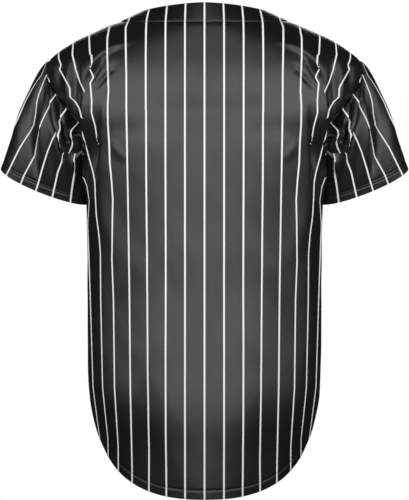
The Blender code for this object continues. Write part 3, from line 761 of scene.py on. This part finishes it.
def thread_material():
    """Twisted polyester thread."""
    name = "sewing_thread"
    if name in bpy.data.materials:
        return bpy.data.materials[name]
    colour = bpy.context.scene.jersey_colours.thread
    material, tree, shader = plain_material(name, 0.42)
    twist = tree.nodes.new("ShaderNodeTexWave")
    twist.wave_type = "BANDS"
    twist.bands_direction = "DIAGONAL"
    twist.inputs["Scale"].default_value = 900.0
    coordinates = tree.nodes.new("ShaderNodeTexCoord")
    tree.links.new(coordinates.outputs["Object"], twist.inputs["Vector"])
    blend_colours(tree, twist.outputs["Fac"], [part * 0.6 for part in colour[:3]], colour[:3], shader)
    bump_from(tree, twist.outputs["Fac"], 0.4, 0.0001, shader)
    return material


def plastic_material():
    """Moulded button plastic, faintly clouded."""
    colour = bpy.context.scene.jersey_colours.button
    material, tree, shader = plain_material("button_plastic", 0.32)
    cloud = tree.nodes.new("ShaderNodeTexNoise")
    cloud.inputs["Scale"].default_value = 420.0
    cloud.inputs["Detail"].default_value = 3.0
    coordinates = tree.nodes.new("ShaderNodeTexCoord")
    tree.links.new(coordinates.outputs["Object"], cloud.inputs["Vector"])
    blend_colours(tree, cloud.outputs["Fac"], [part * 0.7 for part in colour[:3]], [part * 1.4 for part in colour[:3]], shader)
    bump_from(tree, cloud.outputs["Fac"], 0.08, 0.0001, shader)
    return material


def plain_material(name, roughness):
    """A new material with its node tree and shader."""
    material = bpy.data.materials.new(name)
    material.use_nodes = True
    shader = material.node_tree.nodes["Principled BSDF"]
    shader.inputs["Roughness"].default_value = roughness
    return material, material.node_tree, shader


def blend_colours(tree, factor, first, second, shader):
    """Mix two colours by a factor and show the result."""
    mix = tree.nodes.new("ShaderNodeMix")
    mix.data_type = "RGBA"
    tree.links.new(factor, mix.inputs["Factor"])
    mix.inputs["A"].default_value = (*first, 1.0)
    mix.inputs["B"].default_value = (*second, 1.0)
    tree.links.new(mix.outputs["Result"], shader.inputs["Base Color"])


def bump_from(tree, height, strength, distance, shader):
    """Bend a shader's normals by a height."""
    bump = tree.nodes.new("ShaderNodeBump")
    bump.inputs["Strength"].default_value = strength
    bump.inputs["Distance"].default_value = distance
    tree.links.new(height, bump.inputs["Height"])
    tree.links.new(bump.outputs["Normal"], shader.inputs["Normal"])


# Pieces


def back_grid():
    """Points of the back panel, with their distances to its seams folded in."""
    sizes = bpy.context.scene.jersey_sizes
    half = np.concatenate([spread(0.0, 0.5, steps_for(0.09))[:-1], spread(0.5, 1.0, steps_for(0.24))])
    share = np.concatenate([-half[:0:-1], half])
    columns = 2 * (len(half) - 1)
    level = np.concatenate([spread(0.0, 0.048, 18)[:-1], spread(0.048, 1.0, steps_for(0.44))[:-1]])
    lower = SIDE_HEM + (ARMPIT - SIDE_HEM) * level
    turn = spread(0.0, math.pi, steps_for(0.26))
    armhole = ARMHOLE_MIDDLE - ARMHOLE_HALF * np.cos(turn)
    shoulder = spread(SHOULDER_TIP, NECK_SEAM_SIDE - SEAM_GAP / 2, steps_for(0.12))[1:]
    side = np.concatenate([lower, armhole, shoulder])
    part = (side - side[0]) / (side[-1] - side[0])
    top = side[-1] + (NECK_SEAM_BACK - NECK_SEAM_SIDE) * np.cos(share * math.pi / 2) ** 2
    height = blended(hem_height(share, False)[None, :], top[None, :], part[:, None])
    reach = armhole_share(np.minimum(np.maximum(height, ARMPIT), SHOULDER_TIP), False)
    length = cloth_length(height, False)
    reach = reach - SEAM_GAP / 2 / length
    place = share - (1 - reach) * np.sign(share) * np.abs(share) ** 3
    to_edge = (reach - np.abs(place)) * length
    to_hem = height - hem_height(share, False)[None, :]
    to_neck = top[None, :] - height
    beside_armhole = smooth(ARMPIT - 0.01, ARMPIT + 0.01, height)
    dip = sewn_edge(to_edge, 0.0006, blended(0.0035, 0.0015, beside_armhole)) + sewn_edge(to_neck, 0.0010)
    dip += sewn_edge(to_hem - sizes.hem_depth, *HEM_DIP)
    under_arm = smooth(-0.288, -0.262, height) * smooth(0.212, 0.228, -height)
    dip -= sewn_edge(to_edge - 0.019, 0.0036, 0.009) * under_arm
    square_on = smooth(*BACK_EDGE_ON, np.abs(body_normals(place, height, False)[..., 1]))
    return body(place, height, False, dip), height, square_on, columns // 2


class JERSEY_OT_back(bpy.types.Operator):
    """Make the one-piece back with its rounded tail"""

    bl_idname = "jersey.back"
    bl_label = "Back"

    def execute(self, context):
        points, height, square_on, middle = back_grid()
        plain = across_cloth(points, middle)
        x, z = np.abs(points[..., 0]), points[..., 2]
        outside = smooth(0.080, 0.105, x)
        maps = []
        for threads in (UPPER_THREADS, LOWER_THREADS, BESIDE_THREADS):
            distance = blended(np.abs(plain), thread_distance(threads, x, z), outside)
            maps.append(followed(distance * np.sign(points[..., 0]), plain, square_on, middle))
        middle_x, middle_z = (x[1:, 1:] + x[:-1, :-1]) / 2, (z[1:, 1:] + z[:-1, :-1]) / 2
        lower = (middle_z < TROUGH_LINE[-1][1]) | (
            (middle_z < TROUGH_LINE[0][1]) & (middle_x < path_at(TROUGH_LINE, middle_z))
        )
        beside = (middle_x > path_at(BESIDE_LINE, middle_z)) & (middle_z > BESIDE_LINE[-1][1])
        beside &= middle_z < BESIDE_LINE[0][1]
        region = np.where(beside, 2, np.where(lower, 1, 0))
        piece = cloth_piece("back", points, maps, height, knit_material("back_knit"), region=region)
        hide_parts("back_panel")
        return {"FINISHED"}


def neck_seam(turn):
    """x, height and side of the neck seam: turn goes from 0 at the middle of the back to 1 at the front."""
    front = turn > 0.5
    angle = np.minimum(turn, 0.5) * math.pi
    fall = np.clip(turn * 2 - 1, 0.0, 1.0)
    x = np.where(front, NECK_HALF_WIDTH * (1 - fall), NECK_HALF_WIDTH * np.sin(angle))
    back_height = NECK_SEAM_BACK + (NECK_SEAM_SIDE - NECK_SEAM_BACK) * np.sin(angle) ** 2
    front_height = NECK_SEAM_SIDE - (NECK_SEAM_SIDE - NECK_SEAM_FRONT) * (1 - (1 - fall) ** 2)
    return x, np.where(front, front_height, back_height), front


def front_grid(side, inner_x):
    """Points of one front, level at the hem and turned to the line of the shoulder seam at the top."""
    lower = steps_for(ARMPIT - SIDE_HEM)
    upper = steps_for(0.19)
    level = spread(0.0, 1.0, lower)[:-1]
    climb = spread(0.0, 1.0, upper)
    meeting_z = blended(FRONT_TAIL, NECK_SEAM_FRONT, level)
    reach = 1 - inner_x * side / NECK_HALF_WIDTH
    fall = reach * (1 - climb) ** 1.15
    seam_x = NECK_HALF_WIDTH * (1 - fall)
    seam_z = neck_seam(0.5 + np.minimum(fall, 1.0) / 2)[1] - SEAM_GAP / 2
    inner_height = np.concatenate([meeting_z, seam_z])
    inner_share = share_at(np.concatenate([np.full_like(meeting_z, inner_x * side), seam_x]), inner_height, True)
    inner_share[-1] = 1.0
    outer_height = np.concatenate(
        [blended(SIDE_HEM, ARMPIT, level), ARMHOLE_MIDDLE - ARMHOLE_HALF * np.cos(math.pi * climb)]
    )
    outer_share = armhole_share(np.clip(outer_height, ARMPIT, SHOULDER_TIP), True)
    columns = steps_for(FRONT_HIGH.x)
    part = spread(0.0, 1.0, columns)[None, :] ** 1.1
    share = blended(inner_share[:, None], outer_share[:, None], part)
    height = blended(inner_height[:, None], outer_height[:, None], part)
    settle = np.clip(1 - np.arange(len(inner_height)) / lower, 0.0, 1.0)[:, None] ** 2
    height = height + (hem_height(share[:1], True) - height[:1]) * settle
    length = cloth_length(height, True)
    share = share + SEAM_GAP * (0.5 - part) / length
    to_outer = (outer_share[:, None] - share) * length
    to_hem = height - hem_height(share, True)
    dip = sewn_edge(to_outer, 0.0010) + sewn_edge(to_hem - bpy.context.scene.jersey_sizes.hem_depth, *HEM_DIP)
    above = np.arange(len(inner_height))[:, None] >= lower
    dip = dip + np.where(above, sewn_edge((share - inner_share[:, None]) * length), 0.0)
    points = body(share * side, height, True, dip)
    across = np.hypot(points[:, :1, 0], 0.0) * side
    return points, height, share * length * side, across


class JERSEY_OT_fronts(bpy.types.Operator):
    """Make the two fronts, which meet under the placket"""

    bl_idname = "jersey.fronts"
    bl_label = "Fronts"

    def execute(self, context):
        for name, side in (("left", -1), ("right", 1)):
            points, height, across, _ = front_grid(side, FRONT_MEETING_X)
            if side > 0:
                points, height, across = points[:, ::-1], height[:, ::-1], across[:, ::-1]
            material = knit_material(name + "_front_knit")
            piece = cloth_piece(name + "_front", points, across, height, material)
            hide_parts("front_" + name)
        return {"FINISHED"}


def cuff_axes():
    """The two axes of the cuff's oval, outward and backward, and the way out of the sleeve."""
    outward = np.array((math.cos(CUFF_SLOPE), 0.0, math.sin(CUFF_SLOPE)))
    down = np.array((math.sin(CUFF_SLOPE), 0.0, -math.cos(CUFF_SLOPE)))
    backward = np.array((0.0, -1.0, 0.0)) * math.cos(CUFF_FORWARD_TILT) + down * math.sin(CUFF_FORWARD_TILT)
    return outward, backward, np.cross(outward, backward)


def smooth_sleeve(clock, share):
    """Points of the right sleeve without folds: share goes from 0 at the armhole to 1 at the cuff."""
    clock, share = np.broadcast_arrays(clock, share)
    height = ARMHOLE_MIDDLE + ARMHOLE_HALF * np.cos(clock)
    front = np.sin(clock) < 0
    place = armhole_share(height, front)
    under = (1 - np.cos(clock)) / 2
    drop = blended(SLEEVE_TOP_DROP, SLEEVE_UNDER_DROP, under)
    forward = blended(SLEEVE_TOP_FORWARD, SLEEVE_UNDER_FORWARD, under**4)
    away = unit(np.stack([np.cos(drop), forward, -np.sin(drop)], axis=-1))
    start = body(place, height, front) + body_normals(place, height, front) * 0.0003 + away * 0.0006
    outward, backward, out = cuff_axes()
    end = np.array(CUFF_CENTRE) + outward * CUFF_HALF_WIDTH * np.cos(clock)[..., None]
    end = end + backward * CUFF_HALF_DEPTH * np.sin(clock)[..., None]
    length = np.linalg.norm(end - start, axis=-1, keepdims=True)
    out = unit(out - outward * SLEEVE_UNDER_TURN * under[..., None])
    return hermite(start, end, away * length * SLEEVE_START_PULL, out * length * SLEEVE_END_PULL, share[..., None])


def sleeve_normals(clock, share):
    along = smooth_sleeve(clock, np.minimum(share + 0.01, 1.0)) - smooth_sleeve(clock, np.maximum(share - 0.01, 0.0))
    around = smooth_sleeve(clock + 0.01, share) - smooth_sleeve(clock - 0.01, share)
    return unit(np.cross(around, along))


def sleeve_points(clock, share, lift=0.0):
    """Points of the right sleeve with its folds."""
    clock, share = np.broadcast_arrays(clock, share)
    normal = sleeve_normals(clock, share)
    points = smooth_sleeve(clock, share)
    x, z = points[..., 0], points[..., 2]
    rise = np.where(normal[..., 1] < 0, fold_lift(SLEEVE_BACK_FOLDS, x, z), fold_lift(SLEEVE_FRONT_FOLDS, x, z))
    rise = rise * smooth(0.0, 0.5, np.abs(normal[..., 1])) + ripple(x, z)
    return points + normal * (rise + lift)[..., None]


def sleeve_grid():
    sizes = bpy.context.scene.jersey_sizes
    quarter_turn = steps_for(0.165, 1.3)
    clock = spread(0.0, math.tau, quarter_turn * 4)[None, :]
    share = np.concatenate([spread(0.0, 0.88, steps_for(0.26, 1.3))[:-1], spread(0.88, 1.0, 28)])[:, None]
    length = np.linalg.norm(smooth_sleeve(clock, np.ones((1, 1))) - smooth_sleeve(clock, np.zeros((1, 1))), axis=-1)
    to_cuff = (1 - share) * length * SLEEVE_END_PULL
    to_armhole = share * length
    dip = sewn_edge(to_armhole, 0.0006, 0.0015)
    for gap in (-HEM_ROW_GAP / 2, HEM_ROW_GAP / 2):
        dip = dip + sewn_edge(to_cuff - sizes.sleeve_hem_depth - gap, *SLEEVE_HEM_DIP)
    points = sleeve_points(clock, share, dip)
    start, end = points[0], points[-1]
    rim = [np.concatenate([[0.0], np.cumsum(np.linalg.norm(np.diff(edge, axis=0), axis=1))]) for edge in (start, end)]
    plain = blended(rim[0], rim[1], share)
    square_on = smooth(*SLEEVE_EDGE_ON, -sleeve_normals(*np.broadcast_arrays(clock, share))[..., 1])
    x, z = points[..., 0], points[..., 2]
    maps = [
        followed(thread_distance(threads, x, z), plain, square_on, quarter_turn)
        for threads in (OUTER_SLEEVE_THREADS, INNER_SLEEVE_THREADS)
    ]
    maps.append(plain - plain[:, -1:] + maps[0][:, :1])
    middle_x, middle_z = (x[1:, 1:] + x[:-1, :-1]) / 2, (z[1:, 1:] + z[:-1, :-1]) / 2
    inner = (middle_x < path_at(SLEEVE_LINE, middle_z)) & (middle_z > SLEEVE_LINE[-1][1])
    inner &= middle_z < SLEEVE_LINE[0][1]
    region = np.where(clock[:, 1:] > math.pi + 0.001, 2, inner.astype(int))
    _, _, out = cuff_axes()
    return points, maps, -((points - np.array(CUFF_CENTRE)) @ out), region


class JERSEY_OT_sleeves(bpy.types.Operator):
    """Make the two set-in sleeves"""

    bl_idname = "jersey.sleeves"
    bl_label = "Sleeves"

    def execute(self, context):
        sizes = context.scene.jersey_sizes
        points, across, up, region = sleeve_grid()
        for name, side in (("left", -1), ("right", 1)):
            placed = points * np.array((side, 1.0, 1.0))
            material = knit_material(name + "_sleeve_knit", sizes.stripe_pitch / 2)
            rows = slice(None, None, -1) if side > 0 else slice(None)
            piece = cloth_piece(
                name + "_sleeve",
                placed[rows],
                [part[rows] for part in across],
                up[rows],
                material,
                around=True,
                region=region[rows],
            )
            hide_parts("sleeve_" + name)
        return {"FINISHED"}


def seam_points(turn):
    x, height, front = neck_seam(np.clip(turn, 0.0, 1.0))
    return smooth_body(share_at(x, height, front), height, front)


def band_points(turn, share, lift=0.0):
    """Points of the right half of the neck band: share goes from 0 at its seam to 1 at its upper edge."""
    turn, share = np.broadcast_arrays(turn, share)
    x, height, front = neck_seam(turn)
    along = unit(seam_points(turn + 0.004) - seam_points(turn - 0.004))
    normal = body_normals(share_at(x, height, front), height, front)
    inward = np.cross(normal, along)
    inward = inward * np.where(inward[..., 2] < 0, -1.0, 1.0)[..., None]
    squeeze = np.where(front, np.clip((x - abs(FRONT_MEETING_X)) / 0.04, 0.0, 1.0), 1.0)
    inward = unit(inward * np.stack([squeeze, np.ones_like(squeeze), np.ones_like(squeeze)], axis=-1))
    reach = SEAM_GAP / 2 + (BAND_WIDTH - SEAM_GAP / 2) * share
    return seam_points(turn) + inward * reach[..., None] + normal * (0.0006 * share + lift)[..., None]


class JERSEY_OT_neck_band(bpy.types.Operator):
    """Make the folded band round the neck"""

    bl_idname = "jersey.neck_band"
    bl_label = "Neck band"

    def execute(self, context):
        end = 1 - (abs(FRONT_MEETING_X) + SEAM_GAP) / NECK_HALF_WIDTH / 2
        turn = spread(0.0, end, steps_for(0.26))[None, :]
        share = spread(0.0, 1.0, 12)[:, None]
        dip = sewn_edge(share * BAND_WIDTH, 0.0008, 0.002) + sewn_edge(share * BAND_WIDTH - 0.003, *TRIM_DIP)
        dip = dip + sewn_edge((1 - share) * BAND_WIDTH - 0.003, *TRIM_DIP) + 0 * turn
        right = band_points(turn, share, dip)
        left = right[:, :0:-1] * np.array((-1.0, 1.0, 1.0))
        points = np.concatenate([left, right], axis=1)
        middle = left.shape[1]
        step = np.linalg.norm(np.diff(points[:1], axis=1) * np.array((1.0, 0.35, 1.0)), axis=-1)
        total = np.concatenate([[[0.0]], np.cumsum(step, axis=1)], axis=1)
        seam = total - total[:, middle : middle + 1]
        behind = np.abs(np.arange(points.shape[1]) - middle) <= np.argmax(right[0, :, 0])
        upright = np.interp(points[..., 0], points[0, behind, 0], seam[0, behind]) - seam
        upright[:, ~behind] = 0.0
        across = seam + 0.8 * upright
        up = np.repeat(share * BAND_WIDTH, points.shape[1], axis=1)
        piece = cloth_piece("neck_band_knit", points, across, up, knit_material("neck_band_cloth"), wall=0.0013)
        piece.name = "neck_band_folded"
        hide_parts("neck_band")
        return {"FINISHED"}


def centre_front(x, height, lift):
    """Points over the middle of the front: on the body up to the neck seam, then in line with the neck band."""
    x, height, lift = np.broadcast_arrays(x, height, lift)
    low = np.minimum(height, NECK_SEAM_FRONT)
    base = body(share_at(x, low, True), low, True, lift)
    ends = band_points(np.ones(2), np.array((0.0, 1.0)))
    slope = (ends[1, 1] - ends[0, 1]) / (ends[1, 2] - ends[0, 2])
    over = (height - low)[..., None] * np.array((0.0, slope, 1.0))
    return base + over


class JERSEY_OT_placket(bpy.types.Operator):
    """Make the strip down the front that carries the buttonholes"""

    bl_idname = "jersey.placket"
    bl_label = "Placket"

    def execute(self, context):
        top = band_points(np.ones(1), np.ones(1))[0, 2]
        height = spread(FRONT_TAIL, top, steps_for(top - FRONT_TAIL))[:, None]
        x = spread(0.015, -0.015, 16)[None, :]
        to_edge = 0.015 - np.abs(x)
        dip = sewn_edge(to_edge - 0.003, *TRIM_DIP) + 0 * height
        points = centre_front(x, height, PLACKET_LIFT + dip)
        across, up = np.broadcast_arrays(x, height)
        piece = cloth_piece("placket_strip", points, across, up, knit_material("placket_knit"), wall=0.0014)
        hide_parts("placket")
        return {"FINISHED"}


def stitches(name, rows, thread_scale=1.0, stitch_scale=1.0):
    """Sewing along rows, as one object. Each row is a function from a lift to the points under its thread."""
    sizes = bpy.context.scene.jersey_sizes
    thick, long = sizes.thread * thread_scale, sizes.stitch_length * stitch_scale
    sewing = bmesh.new()
    for surface in rows:
        path, above = surface(thick * 0.25), surface(thick * 0.25 + 0.001)
        total = np.concatenate([[0.0], np.cumsum(np.linalg.norm(np.diff(path, axis=0), axis=1))])
        count = max(int(total[-1] / long), 1)
        row = bmesh.new()
        for i in range(count):
            ends = [
                Vector([np.interp((i + part) * total[-1] / count, total, path[:, axis]) for axis in range(3)])
                for part in (0.08, 0.92)
            ]
            middle = (i + 0.5) * total[-1] / count
            lifted = Vector([np.interp(middle, total, above[:, axis]) for axis in range(3)])
            place = (ends[0] + ends[1]) / 2
            along = (ends[1] - ends[0]).normalized()
            side = along.cross(lifted - place).normalized()
            turned = Matrix((along, side, along.cross(side))).transposed().to_4x4()
            stretch = Matrix.Diagonal(((ends[1] - ends[0]).length / 2, thick / 2, thick / 2, 1.0))
            matrix = Matrix.Translation(place) @ turned @ stretch
            bmesh.ops.create_icosphere(row, subdivisions=1, radius=1.0, matrix=matrix)
        data = bpy.data.meshes.new("row")
        row.to_mesh(data)
        row.free()
        sewing.from_mesh(data)
        bpy.data.meshes.remove(data)
    return finished(name, sewing, thread_material())


def mirrored(surface):
    """The same row of sewing on the other half."""
    return lambda lift: surface(lift) * np.array((-1.0, 1.0, 1.0))


def hem_row(front, rise, low=-1.0, high=1.0):
    """A row round the body's hem, at a height above its edge."""
    share = spread(low, high, 160)
    return lambda lift: body(share, hem_height(share, front) + rise, front, lift - HEM_DIP[0])


def sleeve_hem_row(rise):
    """A row round the right cuff, at a distance from its edge."""
    clock = spread(0.0, math.tau, 160)
    length = np.linalg.norm(smooth_sleeve(clock, np.ones(1)) - smooth_sleeve(clock, np.zeros(1)), axis=-1)
    share = 1 - rise / length / SLEEVE_END_PULL
    return lambda lift: sleeve_points(clock, share, lift - SLEEVE_HEM_DIP[0])


def placket_row(x, low, high, dip=0.0):
    """An upright row on the placket."""
    height = spread(low, high, 120)
    return lambda lift: centre_front(x, height, PLACKET_LIFT + lift - dip)


def band_row(share, lowest):
    """A row along the right half of the neck band."""
    turn = spread(0.0, lowest, 100)
    return lambda lift: band_points(turn, share, lift - TRIM_DIP[0])


class JERSEY_OT_sewing(bpy.types.Operator):
    """Sew the hems, the neck band, the placket and its buttonholes"""

    bl_idname = "jersey.sewing"
    bl_label = "Sewing"

    def execute(self, context):
        sizes = context.scene.jersey_sizes
        cuffs = [sleeve_hem_row(sizes.sleeve_hem_depth + gap) for gap in (-HEM_ROW_GAP / 2, HEM_ROW_GAP / 2)]
        stitches("sleeve_hem_sewing", cuffs + [mirrored(row) for row in cuffs])
        middle = abs(FRONT_MEETING_X) / cloth_length(np.array(FRONT_TAIL), True)
        fronts = hem_row(True, sizes.hem_depth, middle, 1.0)
        stitches("hem_sewing", [hem_row(False, sizes.hem_depth), fronts, mirrored(fronts)])
        end = 1 - (PLACKET_HALF_WIDTH + 0.001) / NECK_HALF_WIDTH / 2
        band = [band_row(part, end) for part in (0.003 / BAND_WIDTH, 1 - 0.003 / BAND_WIDTH)]
        stitches("neck_band_sewing", band + [mirrored(row) for row in band])
        top = band_points(np.ones(1), np.ones(1))[0, 2]
        edge = placket_row(PLACKET_HALF_WIDTH - 0.003, FRONT_TAIL + 0.003, top - 0.003, TRIM_DIP[0])
        stitches("placket_sewing", [edge, mirrored(edge)])
        holes = []
        for height in button_heights():
            for x in (-0.0009, 0.0009):
                holes.append(placket_row(x, height - BUTTONHOLE_LENGTH / 2, height + BUTTONHOLE_LENGTH / 2))
        stitches("buttonhole_sewing", holes, thread_scale=2.4, stitch_scale=0.3)
        return {"FINISHED"}


def button_heights():
    """Heights of the buttons' middles, read from the frame."""
    boxes = [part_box("button_%d" % (i + 1)) for i in range(BUTTON_COUNT)]
    return [(low.z + high.z) / 2 for low, high in boxes]


def button_mesh():
    """A dished button with four holes, lying in the XY plane and facing +Z."""
    disc = bmesh.new()
    bmesh.ops.create_cone(
        disc, cap_ends=True, segments=40, radius1=BUTTON_RADIUS, radius2=BUTTON_RADIUS, depth=BUTTON_THICKNESS
    )
    top = max(disc.faces, key=lambda face: face.calc_center_median().z)
    rims = [edge for edge in disc.edges if abs(edge.verts[0].co.z - edge.verts[1].co.z) < 1e-6]
    bmesh.ops.inset_region(disc, faces=[top], thickness=BUTTON_RIM, depth=0.0)
    bmesh.ops.inset_region(disc, faces=[top], thickness=BUTTON_DISH, depth=-BUTTON_DISH)
    bmesh.ops.bevel(disc, geom=rims, offset=0.0007, affect="EDGES", segments=3, profile=0.5, material=-1)
    cutter = bmesh.new()
    for x in (-0.5, 0.5):
        for y in (-0.5, 0.5):
            place = Matrix.Translation((x * BUTTON_HOLE_SPACING, y * BUTTON_HOLE_SPACING, 0.0))
            bmesh.ops.create_cone(
                cutter, cap_ends=True, segments=14, radius1=BUTTON_HOLE, radius2=BUTTON_HOLE, depth=0.01, matrix=place
            )
    objects = []
    for name, shape in (("disc", disc), ("holes", cutter)):
        data = bpy.data.meshes.new(name)
        shape.to_mesh(data)
        shape.free()
        objects.append(bpy.data.objects.new(name, data))
        bpy.context.scene.collection.objects.link(objects[-1])
    cut = objects[0].modifiers.new("holes", "BOOLEAN")
    cut.object = objects[1]
    cut.operation = "DIFFERENCE"
    whole = bpy.data.meshes.new_from_object(objects[0].evaluated_get(bpy.context.evaluated_depsgraph_get()))
    for thing in objects:
        bpy.data.meshes.remove(thing.data)
    return whole


class JERSEY_OT_buttons(bpy.types.Operator):
    """Sew the buttons to the placket"""

    bl_idname = "jersey.buttons"
    bl_label = "Buttons"

    def execute(self, context):
        shape, plastic = button_mesh(), plastic_material()
        for i, height in enumerate(button_heights()):
            node = "button_%d" % (i + 1)
            low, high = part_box(node)
            above, below = centre_front(0.0, np.array((height + 0.009, height - 0.009)), 0.0)
            up = Vector(above - below).normalized()
            out = up.cross(Vector((1.0, 0.0, 0.0))).normalized()
            if out.y < 0:
                out.negate()
            placed = Matrix.Translation((low + high) / 2) @ Matrix((up.cross(out), up, out)).transposed().to_4x4()
            disc = bmesh.new()
            disc.from_mesh(shape)
            bmesh.ops.transform(disc, matrix=placed, verts=disc.verts)
            piece = finished(node + "_sewn", disc, plastic)
            piece.data.set_sharp_from_angle(angle=math.radians(35))
            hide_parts(node)
            cross = bmesh.new()
            reach = BUTTON_HOLE_SPACING * 0.82
            for turn in (45, 135):
                stretch = Matrix.Diagonal((reach, 0.0005, 0.0004, 1.0))
                lift = Matrix.Translation((0.0, 0.0, BUTTON_THICKNESS / 2 - BUTTON_DISH * 0.6))
                turned = Matrix.Rotation(math.radians(turn), 4, "Z")
                bmesh.ops.create_icosphere(cross, subdivisions=2, radius=1.0, matrix=placed @ lift @ turned @ stretch)
            finished(node + "_thread", cross, thread_material())
        return {"FINISHED"}


class JERSEY_OT_stage(bpy.types.Operator):
    """Set up the floor, the lights and the camera"""

    bl_idname = "jersey.stage"
    bl_label = "Stage"

    def execute(self, context):
        studio = context.scene.jersey_studio
        ground = bmesh.new()
        bmesh.ops.create_grid(ground, x_segments=2, y_segments=2, size=1.6)
        bmesh.ops.translate(ground, verts=ground.verts, vec=(0.0, 0.0, studio.floor_height))
        data = bpy.data.meshes.new("floor")
        ground.to_mesh(data)
        ground.free()
        material = bpy.data.materials.new("pale_floor")
        material.use_nodes = True
        material.node_tree.nodes["Principled BSDF"].inputs["Base Color"].default_value = (0.8, 0.8, 0.8, 1.0)
        material.node_tree.nodes["Principled BSDF"].inputs["Roughness"].default_value = 0.9
        data.materials.append(material)
        floor = bpy.data.objects.new("floor", data)
        context.scene.collection.objects.link(floor)
        for turn, power in ((-64, 2.3), (-32, 2.6), (0, 2.2), (32, 2.6), (64, 2.3)):
            angle = math.radians(turn)
            place = (2.3 * math.sin(angle), -2.3 * math.cos(angle), studio.light_height)
            soft_light("key_light", place, (0.0, 0.0, -0.24), (1.1, 0.35), power, 68.0)
        soft_light("low_light", (0.0, -2.3, -0.95), (0.0, 0.0, -0.60), (1.3, 0.3), 1.3, 60.0)
        soft_light("top_light", (0.0, -1.5, 1.30), (0.0, 0.0, -0.08), (0.8, 0.5), 1.1, 60.0)
        soft_light("front_light", (0.0, 2.4, 0.10), (0.0, 0.0, -0.30), (1.0, 1.4), 11.0)
        world = bpy.data.worlds.new("studio")
        context.scene.world = world
        world.use_nodes = True
        tree = world.node_tree
        backdrop, path = tree.nodes["Background"], tree.nodes.new("ShaderNodeLightPath")
        ambient, mix = tree.nodes.new("ShaderNodeBackground"), tree.nodes.new("ShaderNodeMixShader")
        backdrop.inputs["Color"].default_value = (1.0, 1.0, 1.0, 1.0)
        backdrop.inputs["Strength"].default_value = studio.backdrop
        ambient.inputs["Color"].default_value = (1.0, 1.0, 1.0, 1.0)
        ambient.inputs["Strength"].default_value = studio.fill
        tree.links.new(path.outputs["Is Camera Ray"], mix.inputs["Fac"])
        tree.links.new(ambient.outputs[0], mix.inputs[1])
        tree.links.new(backdrop.outputs[0], mix.inputs[2])
        tree.links.new(mix.outputs[0], tree.nodes["World Output"].inputs["Surface"])
        context.scene.view_settings.view_transform = "Standard"
        camera = bpy.data.objects.new("camera", bpy.data.cameras.new("camera"))
        context.scene.collection.objects.link(camera)
        camera.location = (CAMERA_X, -studio.distance, studio.camera_height)
        camera.rotation_euler = (math.pi / 2, 0.0, 0.0)
        camera.data.sensor_fit = "AUTO"
        camera.data.lens = camera.data.sensor_width * studio.distance / (500 * PIXEL)
        context.scene.camera = camera
        return {"FINISHED"}


# The photograph's frame: metres to one pixel at the origin, and the camera's place across it
PIXEL = 0.001546
CAMERA_X = 0.0


def soft_light(name, place, target, size, power, spread=120.0):
    """An area light at a place, turned to a target. Size is its width and height, spread is in degrees."""
    data = bpy.data.lights.new(name, "AREA")
    data.spread = math.radians(spread)
    data.shape = "RECTANGLE"
    data.size, data.size_y = size
    data.energy = power
    light = bpy.data.objects.new(name, data)
    light.location = place
    light.rotation_euler = (Vector(target) - Vector(place)).to_track_quat("-Z", "Y").to_euler()
    bpy.context.scene.collection.objects.link(light)
    return light


class JERSEY_PT_pieces(bpy.types.Panel):
    """Lists the jersey's pieces"""

    bl_label = "Baseball jersey"
    bl_idname = "JERSEY_PT_pieces"
    bl_space_type = "VIEW_3D"
    bl_region_type = "UI"
    bl_category = "Jersey"

    def draw(self, context):
        for group in (context.scene.jersey_sizes, context.scene.jersey_colours, context.scene.jersey_studio):
            box = self.layout.box()
            for name in group.__annotations__:
                box.prop(group, name)
        for operator in OPERATORS:
            self.layout.operator(operator.bl_idname)


OPERATORS = (
    JERSEY_OT_back,
    JERSEY_OT_fronts,
    JERSEY_OT_sleeves,
    JERSEY_OT_neck_band,
    JERSEY_OT_placket,
    JERSEY_OT_sewing,
    JERSEY_OT_buttons,
    JERSEY_OT_stage,
)
SETTINGS = {"jersey_sizes": JerseySizes, "jersey_colours": JerseyColours, "jersey_studio": JerseyStudio}


def register():
    for group in SETTINGS.values():
        bpy.utils.register_class(group)
    for name, group in SETTINGS.items():
        setattr(bpy.types.Scene, name, bpy.props.PointerProperty(type=group))
    for operator in OPERATORS:
        bpy.utils.register_class(operator)
    bpy.utils.register_class(JERSEY_PT_pieces)


def unregister():
    bpy.utils.unregister_class(JERSEY_PT_pieces)
    for operator in reversed(OPERATORS):
        bpy.utils.unregister_class(operator)
    for name in SETTINGS:
        delattr(bpy.types.Scene, name)
    for group in SETTINGS.values():
        bpy.utils.unregister_class(group)


def main():
    register()
    for step in (
        bpy.ops.jersey.back,
        bpy.ops.jersey.fronts,
        bpy.ops.jersey.sleeves,
        bpy.ops.jersey.neck_band,
        bpy.ops.jersey.placket,
        bpy.ops.jersey.sewing,
        bpy.ops.jersey.buttons,
        bpy.ops.jersey.stage,
    ):
        if step() != {"FINISHED"}:
            raise RuntimeError("a piece was not made")


if __name__ == "__main__":
    main()
